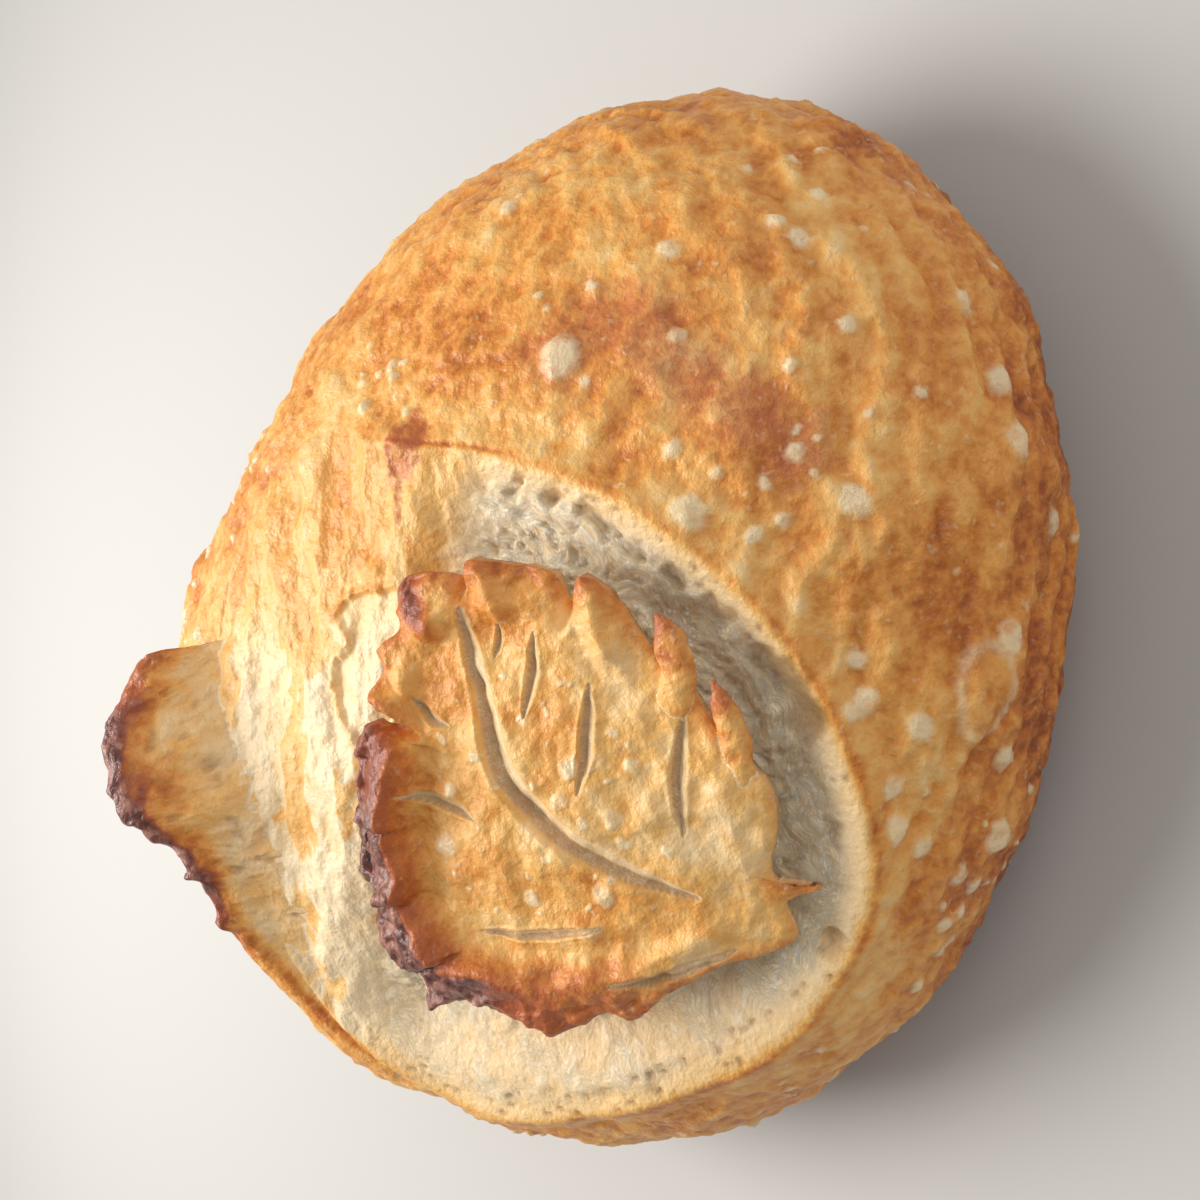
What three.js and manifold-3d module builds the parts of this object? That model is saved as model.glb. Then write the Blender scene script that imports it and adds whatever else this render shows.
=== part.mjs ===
// A round sourdough loaf. Its top was scored in the shape of a leaf: the cut skin opened in the
// oven into a wide hollow, the leaf stands in it as a flap with curled, serrated edges, and the
// far rim of the hollow rose into a tall standing ear. Millimetres, +Z up, the front is -Y.
import * as THREE from 'three';
import { mergeVertices } from 'three/addons/utils/BufferGeometryUtils.js';
import Module from 'manifold-3d';

// Driving dimensions of the dough body
const meanRadius = 118;
const loafHeight = 115;
const widestHeight = 0.34 * loafHeight;
const footDepth = 1.7 * widestHeight;
const roundness = 1.99;
const longShare = 0.133;
const longAngle = THREE.MathUtils.degToRad(-46);
const cornerShare = 0.05;
const cornerAngle = THREE.MathUtils.degToRad(-17);
const crownShift = [4.6, 33.1];
const planCentre = [6.1, 9.8];

// Broad waves of the crust: height, the run over which they turn along each axis, and their sway
const waveHeight = 0.9;
const waveRun = { x: 7.36, xSway: 13.8, y: 9.2, ySway: 11.04 };
const waveSway = 1.3;
const waveFadeAtFoot = [4, 24];
const waveFadeInHollow = 9;

// The opened hollow, seen square on from over the leaf: u to the right, v away from the front
const leafPlace = new THREE.Vector3(-24, -58.2, 95);
const leafNormal = new THREE.Vector3(-0.151, -0.403, 0.903).normalize();
const rimOutline = [
  [64, 36], [62, 16], [56.4, -4], [48, -20.4], [31, -39], [6, -51.6], [-21.4, -53.3],
  [-47.5, -39.5], [-66.7, -14.2], [-82, 25.6], [-76.2, 54.9], [-49.2, 77.6], [-5.4, 84.3], [22.2, 95.1],
  [50, 84], [68, 60],
];
const ridgeHeight = 2.2;
const ridgeWidth = 4.5;
const valleyDepth = 10;
const softDepth = 1.6;
const valleySlope = [1.5, 15];
const hollowFacing = [0.2, 0.45];
const stemBlend = [-5, 3];

// Where the hollow is soft and shallow: over the rear and over the left, by chart position
const rearSide = { slant: 0.35, from: 26, to: 52 };
const leftSide = { slant: 0.2, from: 52, to: 72 };
const smoothCorner = { slant: 0.8, from: 88, to: 112 };

// The leaf flap: outline points are [u, v, curl of the edge]
const leafCentre = [-3, 3];
const leafOutline = [
  [39.3, 31.2, 5], [40.5, 21.7, 3], [39.6, 17.4, 1.5], [42.8, 15.2, 3.5], [41.9, 4.9, 2.5], [40.4, -1.2, 1],
  [34.2, -4.8, 0.5], [40, -6.7, 3.5], [30.9, -16, 2], [26.6, -18.6, 0.5], [33.2, -21.1, 3.5],
  [24.6, -27.6, 2], [15.4, -28, 0.5], [21.6, -31.5, 3.5], [9.5, -35.6, 1.5], [1.7, -39, 1],
  [-5.7, -39.4, 1], [-14.6, -38.3, 0.5], [-17.6, -46, 0.5], [-20, -40.1, 0.5], [-28, -40.6, 0.5],
  [-34, -25.9, 2], [-39.7, -16.9, 3], [-46, -10.4, 4], [-44.7, -4.6, 4], [-51, 6.3, 5],
  [-47.6, 13.5, 6], [-46.1, 25.8, 6.5], [-49.8, 34.8, 5], [-43.1, 35.8, 6.5], [-37.7, 41.8, 7],
  [-30.4, 43.8, 7], [-22.8, 41.9, 7], [-20, 45.9, 6], [-9.6, 43.7, 8], [1, 43, 8],
  [6.8, 42.2, 8], [12.2, 38.2, 7], [10.4, 32.8, 1], [13, 33.3, 2], [16.8, 38.4, 5],
  [21.2, 36.3, 3.5], [25.8, 36.5, 4], [29.6, 31.9, 2], [33.5, 32.5, 3],
];
const stepsPerPoint = 2;
const leafReach = 45;
const leafBelly = 3;
const bellyDrop = 0.55;
const leafThickness = 4.5;
const edgeThickness = 2.4;
const edgeThinning = [0.7, 1];
const leafRings = [0.3, 0.56, 0.74, 0.84, 0.91, 0.96, 1];
const curlAtRing = [0, 0, 0.15, 0.98, 0.94, 0.82, 0.7];
const undersideRings = [1, 0.9, 0.76, 0.5];
const stemInset = 0.8;

// Scored veins: each is a path of [u, v], its greatest half width and its depth
const veins = [
  { path: [[33.6, 17.5], [24.5, 15.6], [14.4, 12.8], [3.8, 9.8], [-4.7, 2.8], [-11.7, -8.3], [-15.4, -16.2],
    [-18.6, -25.2]], halfWidth: 2.6, depth: 3 },
  { path: [[30, 2.3], [22, 3.2], [14.3, 5]], halfWidth: 1.1, depth: 1.8 },
  { path: [[20.5, -7.9], [10, -7.1], [0.6, -5]], halfWidth: 1.2, depth: 1.8 },
  { path: [[15.1, -24.8], [4, -23.4], [-6.5, -23.6]], halfWidth: 1.2, depth: 1.8 },
  { path: [[32.1, 9.7], [28.4, 10.1], [24.9, 11.2]], halfWidth: 0.7, depth: 1.3 },
  { path: [[-1.8, 31.3], [-2.9, 24.4], [-5.8, 17.2]], halfWidth: 1.2, depth: 1.7 },
  { path: [[16.6, 28.8], [13.2, 25.8], [11.6, 21.9]], halfWidth: 1.1, depth: 1.6 },
  { path: [[-29.4, 18.8], [-28.6, 6.5], [-25.7, -6.9]], halfWidth: 1, depth: 1.6 },
  { path: [[-36.6, -7.8], [-34.4, -19], [-29.9, -30.1]], halfWidth: 1.1, depth: 1.8 },
];
const veinStations = 4;
const veinEnd = 0.04;
const veinFullness = 0.7;
const cutterRise = 6;

// Section of a vein, steep on its left and gentle on its right: [half widths to the left, depths]
const veinSection = [[1.1, 0], [0.35, 0.46], [-0.4, 1], [-0.8, 0.5], [-1.2, 0]];
const cutterSide = 1.5;

// The standing ear along the far rim: [u, v, height above the rim] from its torn end to the left
const earStations = [
  [21.8, 94.9, 14.5], [18, 94, 17.5], [13.8, 92.6, 20.5], [4.5, 89.3, 26], [-5.4, 84.3, 27],
  [-13.2, 80.8, 25.5], [-21, 79.6, 22], [-27.8, 79.4, 17.4], [-34.5, 79.3, 15], [-41.2, 79.1, 13],
  [-49.2, 77.6, 9], [-59, 73, 6], [-68.7, 65.7, 4], [-76.2, 54.9, 1.8],
];
const earLean = THREE.MathUtils.degToRad(27);
const earLip = { least: 2.5, perHeight: 0.25, most: 5.5 };
const earFoot = { least: 4, perHeight: 0.35, most: 9 };
const earRoot = 8;
const earSteps = 2;

// Section of the ear, from its inner root over the lip to its outer root. Outward place is a share
// of the lip's and one of the foot's thickness; rise is a share of the height and one of the root.
const earSection = [
  { lip: 0, foot: -0.1, height: 0, root: -1 },
  { lip: 0, foot: 0, height: 0, root: 0 },
  { lip: 0, foot: -0.05, height: 0.3, root: 0 },
  { lip: 0, foot: -0.03, height: 0.62, root: 0 },
  { lip: 0, foot: 0, height: 0.86, root: 0 },
  { lip: 0.3, foot: 0, height: 1, root: 0 },
  { lip: 0.8, foot: 0, height: 0.99, root: 0 },
  { lip: 1, foot: 0, height: 0.9, root: 0 },
  { lip: 0.55, foot: 0.55, height: 0.55, root: 0 },
  { lip: 0, foot: 0.85, height: 0.2, root: 0 },
  { lip: 0, foot: 1, height: 0, root: -0.2 },
  { lip: 0, foot: 0.8, height: 0, root: -1 },
];

// Facets, and the reach and steps of searches
const bodyDetail = 13;
const topCrowding = 0.62;
const normalStep = 0.2;
const searchFrom = -75;
const searchTo = 40;
const searchSteps = 34;

const wasm = await Module();
wasm.setup();

const smooth = (value, from, to) => THREE.MathUtils.smoothstep(value, from, to);
const within = ({ least, perHeight, most }, height) => Math.min(most, least + perHeight * height);

// The dough body before the hollow: plan radius by direction, a full shoulder, a tucked-in foot
function planRadius(angle) {
  const long = longShare * Math.cos(2 * (angle - longAngle));
  const corner = cornerShare * Math.cos(3 * (angle - cornerAngle));
  return meanRadius * (1 + long + corner);
}

// Under 0 inside the body and over 0 outside it
function bodyLevel(p) {
  const lean = (p.z / loafHeight) ** 2;
  const x = p.x + planCentre[0] - crownShift[0] * lean;
  const y = p.y + planCentre[1] - crownShift[1] * lean;
  const rise = p.z - widestHeight;
  const reach = rise > 0 ? loafHeight - widestHeight : footDepth;
  const across = Math.hypot(x, y) / planRadius(Math.atan2(y, x));
  return across ** roundness + Math.abs(rise / reach) ** roundness - 1;
}

// The body's point in a direction from the middle of its widest height
function bodyPoint(direction) {
  const across = Math.hypot(direction.x, direction.y);
  const reach = direction.z > 0 ? loafHeight - widestHeight : footDepth;
  const radius = planRadius(Math.atan2(direction.y, direction.x));
  const level = (across / radius) ** roundness + Math.abs(direction.z / reach) ** roundness;
  const length = level ** (-1 / roundness);
  const z = Math.max(widestHeight + length * direction.z, 0);
  const lean = (z / loafHeight) ** 2;
  return new THREE.Vector3(
    length * direction.x + crownShift[0] * lean - planCentre[0],
    length * direction.y + crownShift[1] * lean - planCentre[1],
    z,
  );
}

function bodyNormal(p) {
  const step = normalStep;
  const slope = (x, y, z) => bodyLevel(new THREE.Vector3(p.x + x, p.y + y, p.z + z))
    - bodyLevel(new THREE.Vector3(p.x - x, p.y - y, p.z - z));
  return new THREE.Vector3(slope(step, 0, 0), slope(0, step, 0), slope(0, 0, step)).normalize();
}

// The flat chart over the leaf
const chartU = new THREE.Vector3(1, 0, 0).addScaledVector(leafNormal, -leafNormal.x).normalize();
const chartV = new THREE.Vector3().crossVectors(leafNormal, chartU);

function toChart(p) {
  const offset = p.clone().sub(leafPlace);
  return [offset.dot(chartU), offset.dot(chartV)];
}

// The point of the dough body under a chart point, raised by lift along the leaf's normal
function onBody(u, v, lift = 0) {
  const start = leafPlace.clone().addScaledVector(chartU, u).addScaledVector(chartV, v);
  let inside = searchFrom;
  let outside = searchTo;
  for (let i = 0; i < searchSteps; i += 1) {
    const middle = (inside + outside) / 2;
    if (bodyLevel(start.clone().addScaledVector(leafNormal, middle)) < 0) inside = middle;
    else outside = middle;
  }
  return start.addScaledVector(leafNormal, inside + lift);
}

function closedCurve(points, steps) {
  const curve = new THREE.CatmullRomCurve3(
    points.map(([u, v, w = 0]) => new THREE.Vector3(u, v, w)), true, 'catmullrom', 0.5);
  const count = points.length * steps;
  return Array.from({ length: count }, (_, i) => curve.getPoint(i / count));
}

function openCurve(points, steps) {
  const curve = new THREE.CatmullRomCurve3(
    points.map(([u, v, w = 0]) => new THREE.Vector3(u, v, w)), false, 'catmullrom', 0.5);
  const count = (points.length - 1) * steps;
  return Array.from({ length: count + 1 }, (_, i) => curve.getPoint(i / count));
}

// Distance to a closed outline in the chart, over 0 inside it
function insideBy(outline, u, v) {
  let nearest = Infinity;
  let inside = false;
  outline.forEach((a, i) => {
    const b = outline[(i + 1) % outline.length];
    const along = ((u - a.x) * (b.x - a.x) + (v - a.y) * (b.y - a.y))
      / ((b.x - a.x) ** 2 + (b.y - a.y) ** 2);
    const t = THREE.MathUtils.clamp(along, 0, 1);
    nearest = Math.min(nearest, Math.hypot(a.x + t * (b.x - a.x) - u, a.y + t * (b.y - a.y) - v));
    if ((a.y > v) !== (b.y > v) && u < a.x + ((v - a.y) / (b.y - a.y)) * (b.x - a.x)) inside = !inside;
  });
  return inside ? nearest : -nearest;
}

const rim = closedCurve(rimOutline, 6);
const leafEdge = closedCurve(leafOutline, stepsPerPoint);
const stem = leafEdge.map((p) => new THREE.Vector3(
  leafCentre[0] + stemInset * (p.x - leafCentre[0]),
  leafCentre[1] + stemInset * (p.y - leafCentre[1]),
  0,
));

// Height of the risen dough over the plain body: rim ridge, hollow and the stem under the leaf
function relief(p, normal) {
  const wave = waveHeight * smooth(p.z, ...waveFadeAtFoot)
    * Math.sin(p.x / waveRun.x + Math.sin(p.y / waveRun.xSway))
    * Math.sin(p.y / waveRun.y + waveSway * Math.sin(p.z / waveRun.ySway));
  const facing = smooth(normal.dot(leafNormal), ...hollowFacing);
  const [u, v] = toChart(p);
  const depthIn = insideBy(rim, u, v);
  const rear = smooth(rearSide.slant * u + v, rearSide.from, rearSide.to);
  const left = smooth(-u - leftSide.slant * v, leftSide.from, leftSide.to);
  const cutSide = 1 - Math.min(rear + left, 1);
  const sharpRim = 1 - smooth(smoothCorner.slant * u + v, smoothCorner.from, smoothCorner.to);
  const ridge = ridgeHeight * Math.exp(-((depthIn / ridgeWidth) ** 2)) * sharpRim;
  const stemUnder = smooth(insideBy(stem, u, v), ...stemBlend);
  const valley = (softDepth + (valleyDepth - softDepth) * cutSide) * smooth(depthIn, ...valleySlope);
  const waveShare = 1 - facing * smooth(depthIn, 0, waveFadeInHollow);
  return facing * (ridge - valley * (1 - stemUnder) - stemUnder) + wave * waveShare;
}

// A sphere's facets, crowded towards the leaf, are carried onto the body and raised by the relief
function doughBody() {
  const ball = new THREE.IcosahedronGeometry(1, bodyDetail);
  ball.deleteAttribute('normal');
  ball.deleteAttribute('uv');
  const merged = mergeVertices(ball, 1e-5);
  const place = merged.getAttribute('position');
  const turn = new THREE.Quaternion().setFromUnitVectors(new THREE.Vector3(0, 0, 1), leafNormal);
  for (let i = 0; i < place.count; i += 1) {
    const d = new THREE.Vector3().fromBufferAttribute(place, i).normalize();
    const flat = topCrowding * topCrowding * (1 - d.z) / (1 + d.z + 1e-9);
    const height = (1 - flat) / (1 + flat);
    const across = Math.hypot(d.x, d.y) || 1;
    const width = Math.sqrt(Math.max(1 - height * height, 0)) / across;
    const direction = new THREE.Vector3(d.x * width, d.y * width, height).applyQuaternion(turn);
    const p = bodyPoint(direction);
    if (p.z > 0) {
      const normal = bodyNormal(p);
      p.addScaledVector(normal, relief(p, normal));
    }
    place.setXYZ(i, p.x, p.y, Math.max(p.z, 0));
  }
  return merged;
}

// A closed skin through rings of points: each ring has the same count, and fans close both ends
function loft(rings) {
  const count = rings[0].length;
  const points = rings.flat();
  const faces = [];
  for (let r = 0; r + 1 < rings.length; r += 1) {
    for (let i = 0; i < count; i += 1) {
      const a = r * count + i;
      const b = r * count + ((i + 1) % count);
      faces.push(a, b, b + count, a, b + count, a + count);
    }
  }
  const cap = (first, flip) => {
    const middle = points.length;
    const centre = new THREE.Vector3();
    for (let i = 0; i < count; i += 1) centre.addScaledVector(points[first + i], 1 / count);
    points.push(centre);
    for (let i = 0; i < count; i += 1) {
      const a = first + i;
      const b = first + ((i + 1) % count);
      if (flip) faces.push(middle, a, b);
      else faces.push(middle, b, a);
    }
  };
  cap(0, false);
  cap((rings.length - 1) * count, true);
  const geometry = new THREE.BufferGeometry();
  geometry.setAttribute('position', new THREE.Float32BufferAttribute(points.flatMap((p) => p.toArray()), 3));
  geometry.setIndex(faces);
  return geometry;
}

// The leaf's upper face over the body at a share of the way from its middle to its edge
function leafLift(share, curl) {
  let i = 0;
  while (i + 1 < leafRings.length - 1 && leafRings[i + 1] < share) i += 1;
  const t = THREE.MathUtils.clamp((share - leafRings[i]) / (leafRings[i + 1] - leafRings[i]), 0, 1);
  const raised = THREE.MathUtils.lerp(curlAtRing[i], curlAtRing[i + 1], t);
  return leafBelly * (1 - bellyDrop * share * share) + curl * raised;
}

function leafRing(share, drop) {
  return leafEdge.map((edge) => {
    const u = leafCentre[0] + share * (edge.x - leafCentre[0]);
    const v = leafCentre[1] + share * (edge.y - leafCentre[1]);
    return onBody(u, v, leafLift(share, edge.z) - drop);
  });
}

function leafFlap() {
  const upper = leafRings.map((share) => leafRing(share, 0));
  const lower = undersideRings.map((share) => leafRing(
    share, THREE.MathUtils.lerp(leafThickness, edgeThickness, smooth(share, ...edgeThinning))));
  return loft([...upper, ...lower]);
}

// The ear: a leaning wall with a thick rolled lip, rooted in the far rim
function standingEar() {
  const line = openCurve(earStations, earSteps);
  const rings = line.map((s, i) => {
    const before = line[Math.max(i - 1, 0)];
    const after = line[Math.min(i + 1, line.length - 1)];
    const along = onBody(after.x, after.y).sub(onBody(before.x, before.y)).setZ(0).normalize();
    const outward = new THREE.Vector3(along.y, -along.x, 0);
    const up = new THREE.Vector3(0, 0, Math.cos(earLean)).addScaledVector(outward, Math.sin(earLean));
    const foot = onBody(s.x, s.y);
    const lipThickness = within(earLip, s.z);
    const footThickness = within(earFoot, s.z);
    return earSection.map(({ lip, foot: low, height, root }) => foot.clone()
      .addScaledVector(outward, lip * lipThickness + low * footThickness)
      .addScaledVector(up, height * s.z + root * earRoot));
  });
  return loft(rings);
}

// A spindle-shaped scoop along a vein, for cutting it out of the leaf
function veinCutter({ path, halfWidth, depth }) {
  const line = openCurve(path, veinStations);
  const rings = line.map((s, i) => {
    const before = line[Math.max(i - 1, 0)];
    const after = line[Math.min(i + 1, line.length - 1)];
    const along = after.clone().sub(before).normalize();
    const travelled = veinEnd + (1 - 2 * veinEnd) * (i / (line.length - 1));
    const fullness = Math.sin(Math.PI * travelled) ** veinFullness;
    const share = Math.hypot(s.x - leafCentre[0], s.y - leafCentre[1]) / leafReach;
    const top = leafLift(Math.min(share, edgeThinning[0]), 0);
    const place = (side, rise) => onBody(
      s.x - along.y * side * halfWidth * fullness, s.y + along.x * side * halfWidth * fullness, rise);
    return [
      place(cutterSide, top + cutterRise),
      ...veinSection.map(([side, deep]) => place(side, top - deep * depth * fullness)),
      place(-cutterSide, top + cutterRise),
    ];
  });
  return loft(rings);
}

function toSolid(geometry) {
  const position = geometry.getAttribute('position');
  const build = (index) => new wasm.Manifold(new wasm.Mesh({
    numProp: 3,
    vertProperties: new Float32Array(position.array),
    triVerts: new Uint32Array(index),
  }));
  const index = Array.from(geometry.getIndex().array);
  const solid = build(index);
  if (solid.volume() > 0) return solid;
  const turned = index.slice();
  for (let i = 0; i < turned.length; i += 3) [turned[i + 1], turned[i + 2]] = [index[i + 2], index[i + 1]];
  return build(turned);
}

function toGeometry(solid) {
  const mesh = solid.getMesh();
  const geometry = new THREE.BufferGeometry();
  geometry.setAttribute('position', new THREE.BufferAttribute(new Float32Array(mesh.vertProperties), 3));
  geometry.setIndex(Array.from(mesh.triVerts));
  geometry.computeVertexNormals();
  return geometry;
}

const risen = toSolid(doughBody()).add(toSolid(leafFlap())).add(toSolid(standingEar()));
const scored = veins.reduce((solid, vein) => solid.subtract(toSolid(veinCutter(vein))), risen);

// The outer skin alone is kept, so that no pocket stays sealed where the flap closes on the dough
const whole = scored.decompose().reduce((best, piece) => (piece.volume() > best.volume() ? piece : best));

const crust = new THREE.MeshStandardMaterial({ color: 0xd49a58, roughness: 0.75, metalness: 0 });
const loaf = new THREE.Mesh(toGeometry(whole), crust);
loaf.name = 'loaf';

const sourdough = new THREE.Group();
sourdough.add(loaf);

export default sourdough;
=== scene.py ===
"""Looks of a round sourdough loaf with a leaf-shaped flap in its split top and a standing ear.

The dough body, the leaf and the ear are built in millimetres from the same sizes as the solid,
with the fine relief of crust, crumb and singed edges, joined into one mesh and scaled to metres.
"""
import itertools
import math
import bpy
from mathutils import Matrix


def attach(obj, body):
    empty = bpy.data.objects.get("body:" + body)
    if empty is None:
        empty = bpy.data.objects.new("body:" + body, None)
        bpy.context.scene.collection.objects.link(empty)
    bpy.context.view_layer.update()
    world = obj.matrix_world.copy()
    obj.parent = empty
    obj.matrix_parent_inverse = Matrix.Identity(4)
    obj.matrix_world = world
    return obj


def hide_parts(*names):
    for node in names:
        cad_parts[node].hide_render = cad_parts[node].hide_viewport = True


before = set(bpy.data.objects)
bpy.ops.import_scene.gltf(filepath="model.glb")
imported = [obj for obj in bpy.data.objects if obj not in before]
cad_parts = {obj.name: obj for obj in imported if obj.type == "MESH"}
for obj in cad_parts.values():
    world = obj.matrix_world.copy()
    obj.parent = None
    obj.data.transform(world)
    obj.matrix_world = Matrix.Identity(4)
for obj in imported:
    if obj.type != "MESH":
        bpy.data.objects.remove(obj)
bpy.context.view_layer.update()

from types import SimpleNamespace

import bmesh
import bpy
import numpy as np
from mathutils import Matrix, Vector

MM = 0.001
RANDOM = np.random.default_rng(20)

# Sizes of the dough body, in millimetres
MEAN_RADIUS = 118.0
LOAF_HEIGHT = 115.0
WIDEST_HEIGHT = 0.34 * LOAF_HEIGHT
FOOT_DEPTH = 1.7 * WIDEST_HEIGHT
ROUNDNESS = 1.99
LONG_SHARE, LONG_ANGLE = 0.133, math.radians(-46)
CORNER_SHARE, CORNER_ANGLE = 0.05, math.radians(-17)
CROWN_SHIFT = (4.6, 33.1)
PLAN_CENTRE = (6.1, 9.8)
WAVE_HEIGHT = 0.9
WAVE_LENGTH = 46.0

# The opened hollow in the chart over the leaf
LEAF_PLACE = np.array([-24.0, -58.2, 95.0])
LEAF_NORMAL = np.array([-0.151, -0.403, 0.903])
LEAF_NORMAL /= np.linalg.norm(LEAF_NORMAL)
RIM_OUTLINE = [
    (64, 36), (62, 16), (56.4, -4), (48, -20.4), (31, -39), (6, -51.6), (-21.4, -53.3),
    (-47.5, -39.5), (-66.7, -14.2), (-82, 25.6), (-76.2, 54.9), (-49.2, 77.6), (-5.4, 84.3),
    (22.2, 95.1), (50, 84), (68, 60),
]
RIDGE_HEIGHT = 2.2
RIDGE_WIDTH_OUT, RIDGE_WIDTH_IN = 4.5, 2.6
VALLEY_DEPTH = 10.0
VALLEY_SLOPE = 15.0
SOFT_DEPTH = 1.6

# The leaf: outline points are (u, v, curl of the edge, singeing of the edge)
LEAF_CENTRE = np.array([-3.0, 3.0])
LEAF_OUTLINE = [
    (39.3, 31.2, 5, 0.95), (40.5, 21.7, 3, 0.5), (39.6, 17.4, 1.5, 0.35), (42.8, 15.2, 3.5, 0.5),
    (41.9, 4.9, 2.5, 0.45), (40.4, -1.2, 1, 0.25), (35.2, -4.2, 0.8, 0.15), (40, -7.2, 3, 0.55),
    (37, -12.2, 2.5, 0.45), (31, -16.4, 1.5, 0.25), (25.6, -20.2, 0.8, 0.1), (22, -24.6, 0.8, 0.15),
    (17, -27.8, 0.6, 0.1), (12, -30.6, 0.6, 0.1), (8, -34.6, 1, 0.2), (1.7, -39, 1, 0.15),
    (-5.7, -39.4, 1, 0.1), (-14.6, -38.3, 0.5, 0.05), (-17.6, -46, 0.5, 0.45), (-20, -40.1, 0.5, 0.05),
    (-28, -40.6, 0.5, 0.1), (-34, -25.9, 2, 0.6), (-39.7, -16.9, 3, 0.76), (-46, -10.4, 4, 0.82),
    (-44.7, -4.6, 4, 0.82), (-51, 6.3, 5, 0.85), (-47.6, 13.5, 6, 0.86), (-46.1, 25.8, 6.5, 0.92),
    (-49.8, 34.8, 5, 0.95), (-43.1, 35.8, 6.5, 0.95), (-37.7, 41.8, 7, 1), (-30.4, 43.8, 7, 1),
    (-22.8, 41.9, 7, 0.97), (-20, 45.9, 6, 1), (-9.6, 43.7, 8, 1), (1, 43, 8, 0.97),
    (6.8, 42.2, 8, 0.92), (12.2, 38.2, 7, 0.88), (10.4, 32.8, 1, 0.3), (13, 33.3, 2, 0.3),
    (16.8, 38.4, 5, 0.5), (21.2, 36.3, 3.5, 0.45), (25.8, 36.5, 4, 0.5), (29.6, 31.9, 2, 0.4),
    (33.5, 32.5, 3, 0.55),
]
LEAF_STEPS = 12
LEAF_BELLY = 3.0
LEAF_THICKNESS = 4.5
EDGE_THICKNESS = 2.4
STEM_INSET = 0.8
CURL_AT, SINGED_CURL_AT = 0.85, 0.775
CURL_WIDTH_IN, CURL_WIDTH_OUT = 0.08, 0.25
# Cracks between the lobes of the singed crest, and the lobes' middles along u
CREST_CRACKS = [
    [(-26, 42), (-24.2, 35), (-21.5, 29)], [(-9.6, 45), (-8.2, 36), (-8.6, 28)],
    [(-40, 35), (-37, 29), (-34, 24)],
]
CREST_LOBES = (-31, -15.5, 1.5)
SOFT_SHARE = 0.7
# Rolled teeth of the right and front edge, and the notches between them
TOOTH_ROLLS = [
    [(27, -11.5), (34, -10), (39.4, -7.6)], [(34, 9.5), (38.5, 12), (42, 14.6)],
]
TOOTH_NOTCHES = [[(35, -4.4), (31, -3.6)], [(39.6, 17.6), (36, 18.4)]]
# Free rolled teeth of the front edge: (u, v, height over the body, half width)
FREE_TEETH = [
    [(13, -21.5, -1.2, 3.2), (18.5, -23.4, 1.6, 3.4), (25, -24, 3.0, 3.1), (30, -22.9, 4.0, 2.2),
     (33.4, -21.3, 5.0, 0.5)],
    [(-2, -31.5, -1.2, 3.0), (4, -33.4, 1.2, 3.3), (11.5, -33.2, 2.6, 2.8), (17.5, -32, 3.6, 2.0),
     (21.9, -30.7, 4.6, 0.5)],
]

# Small blisters of the leaf, and the larger ones among them: (u, v, radius)
SPOT_COUNT = 190
NAMED_SPOTS = [(19.4, -18.1, 4.2), (-22, -33, 3.2), (-12, 24, 3.0)]

# Scored veins: path, greatest half width and depth
VEINS = [
    ([(33.6, 17.5), (24.5, 15.6), (14.4, 12.8), (3.8, 9.8), (-4.7, 2.8), (-11.7, -8.3), (-15.4, -16.2),
      (-18.6, -25.2)], 2.6, 3.0),
    ([(30, 2.3), (22, 3.2), (14.3, 5)], 1.1, 1.8),
    ([(20.5, -7.9), (10, -7.1), (0.6, -5)], 1.2, 1.8),
    ([(15.1, -24.8), (4, -23.4), (-6.5, -23.6)], 1.2, 1.8),
    ([(32.1, 9.7), (28.4, 10.1), (24.9, 11.2)], 0.7, 1.3),
    ([(-1.8, 31.3), (-2.9, 24.4), (-5.8, 17.2)], 1.2, 1.7),
    ([(16.6, 28.8), (13.2, 25.8), (11.6, 21.9)], 1.1, 1.6),
    ([(-29.4, 18.8), (-28.6, 6.5), (-25.7, -6.9)], 1.0, 1.6),
    ([(-36.6, -7.8), (-34.4, -19), (-29.9, -30.1)], 1.1, 1.8),
]

# The standing ear: (u, v, height above the rim)
EAR_STATIONS = [
    (21.8, 94.9, 14.5), (18, 94, 17.5), (13.8, 92.6, 20.5), (4.5, 89.3, 26), (-5.4, 84.3, 27),
    (-13.2, 80.8, 25.5), (-21, 79.6, 22), (-27.8, 79.4, 17.4), (-34.5, 79.3, 15), (-41.2, 79.1, 13),
    (-49.2, 77.6, 9), (-59, 73, 6), (-68.7, 65.7, 4), (-76.2, 54.9, 1.8),
]
# Small pointed spurs of the ear's lip: (u, height)
EAR_SPURS = [(-30.5, 2.0), (-41.5, 1.4)]
EAR_LEAN = math.radians(27)
EAR_FOOT_THICKNESS = 9.0
EAR_LIP_THICKNESS = 5.5
EAR_ROOT = 8.0

# The film of skin that lifts off the pale dough behind the leaf
FILM_POCKET = [
    (9.7, 53.5), (13, 55.5), (19.8, 55.6), (25.1, 50.3), (31.5, 52.7), (35.2, 48.6), (36.1, 44.3),
    (36.8, 35), (24, 34), (12, 40), (4, 47),
]

# Relief of the crust, in millimetres: sizes across and heights
WRINKLE_PERIOD, WRINKLE_HEIGHT = 7.6, 0.75
CREASE_PERIOD, CREASE_HEIGHT = 3.7, 0.36
LUMP_SIZE, LUMP_HEIGHT = 17.0, 0.75
KNOLL_SIZE, KNOLL_HEIGHT = 6.5, 0.42
PEBBLE_SIZE, PEBBLE_HEIGHT = 2.8, 0.3
# The dark nub at the right end of the rim, and the reddish line down the crust beside the leaf
NUB_PLACE = (62.5, 34.5)
ROSY_LINE = [(80.3, 0.4), (85.6, -11.2), (78.7, -19.7), (72.8, -26.5), (65, -37), (60, -44)]

# Depth inside an outline that stands for far outside it
FAR_OUTSIDE = -60.0

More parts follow.
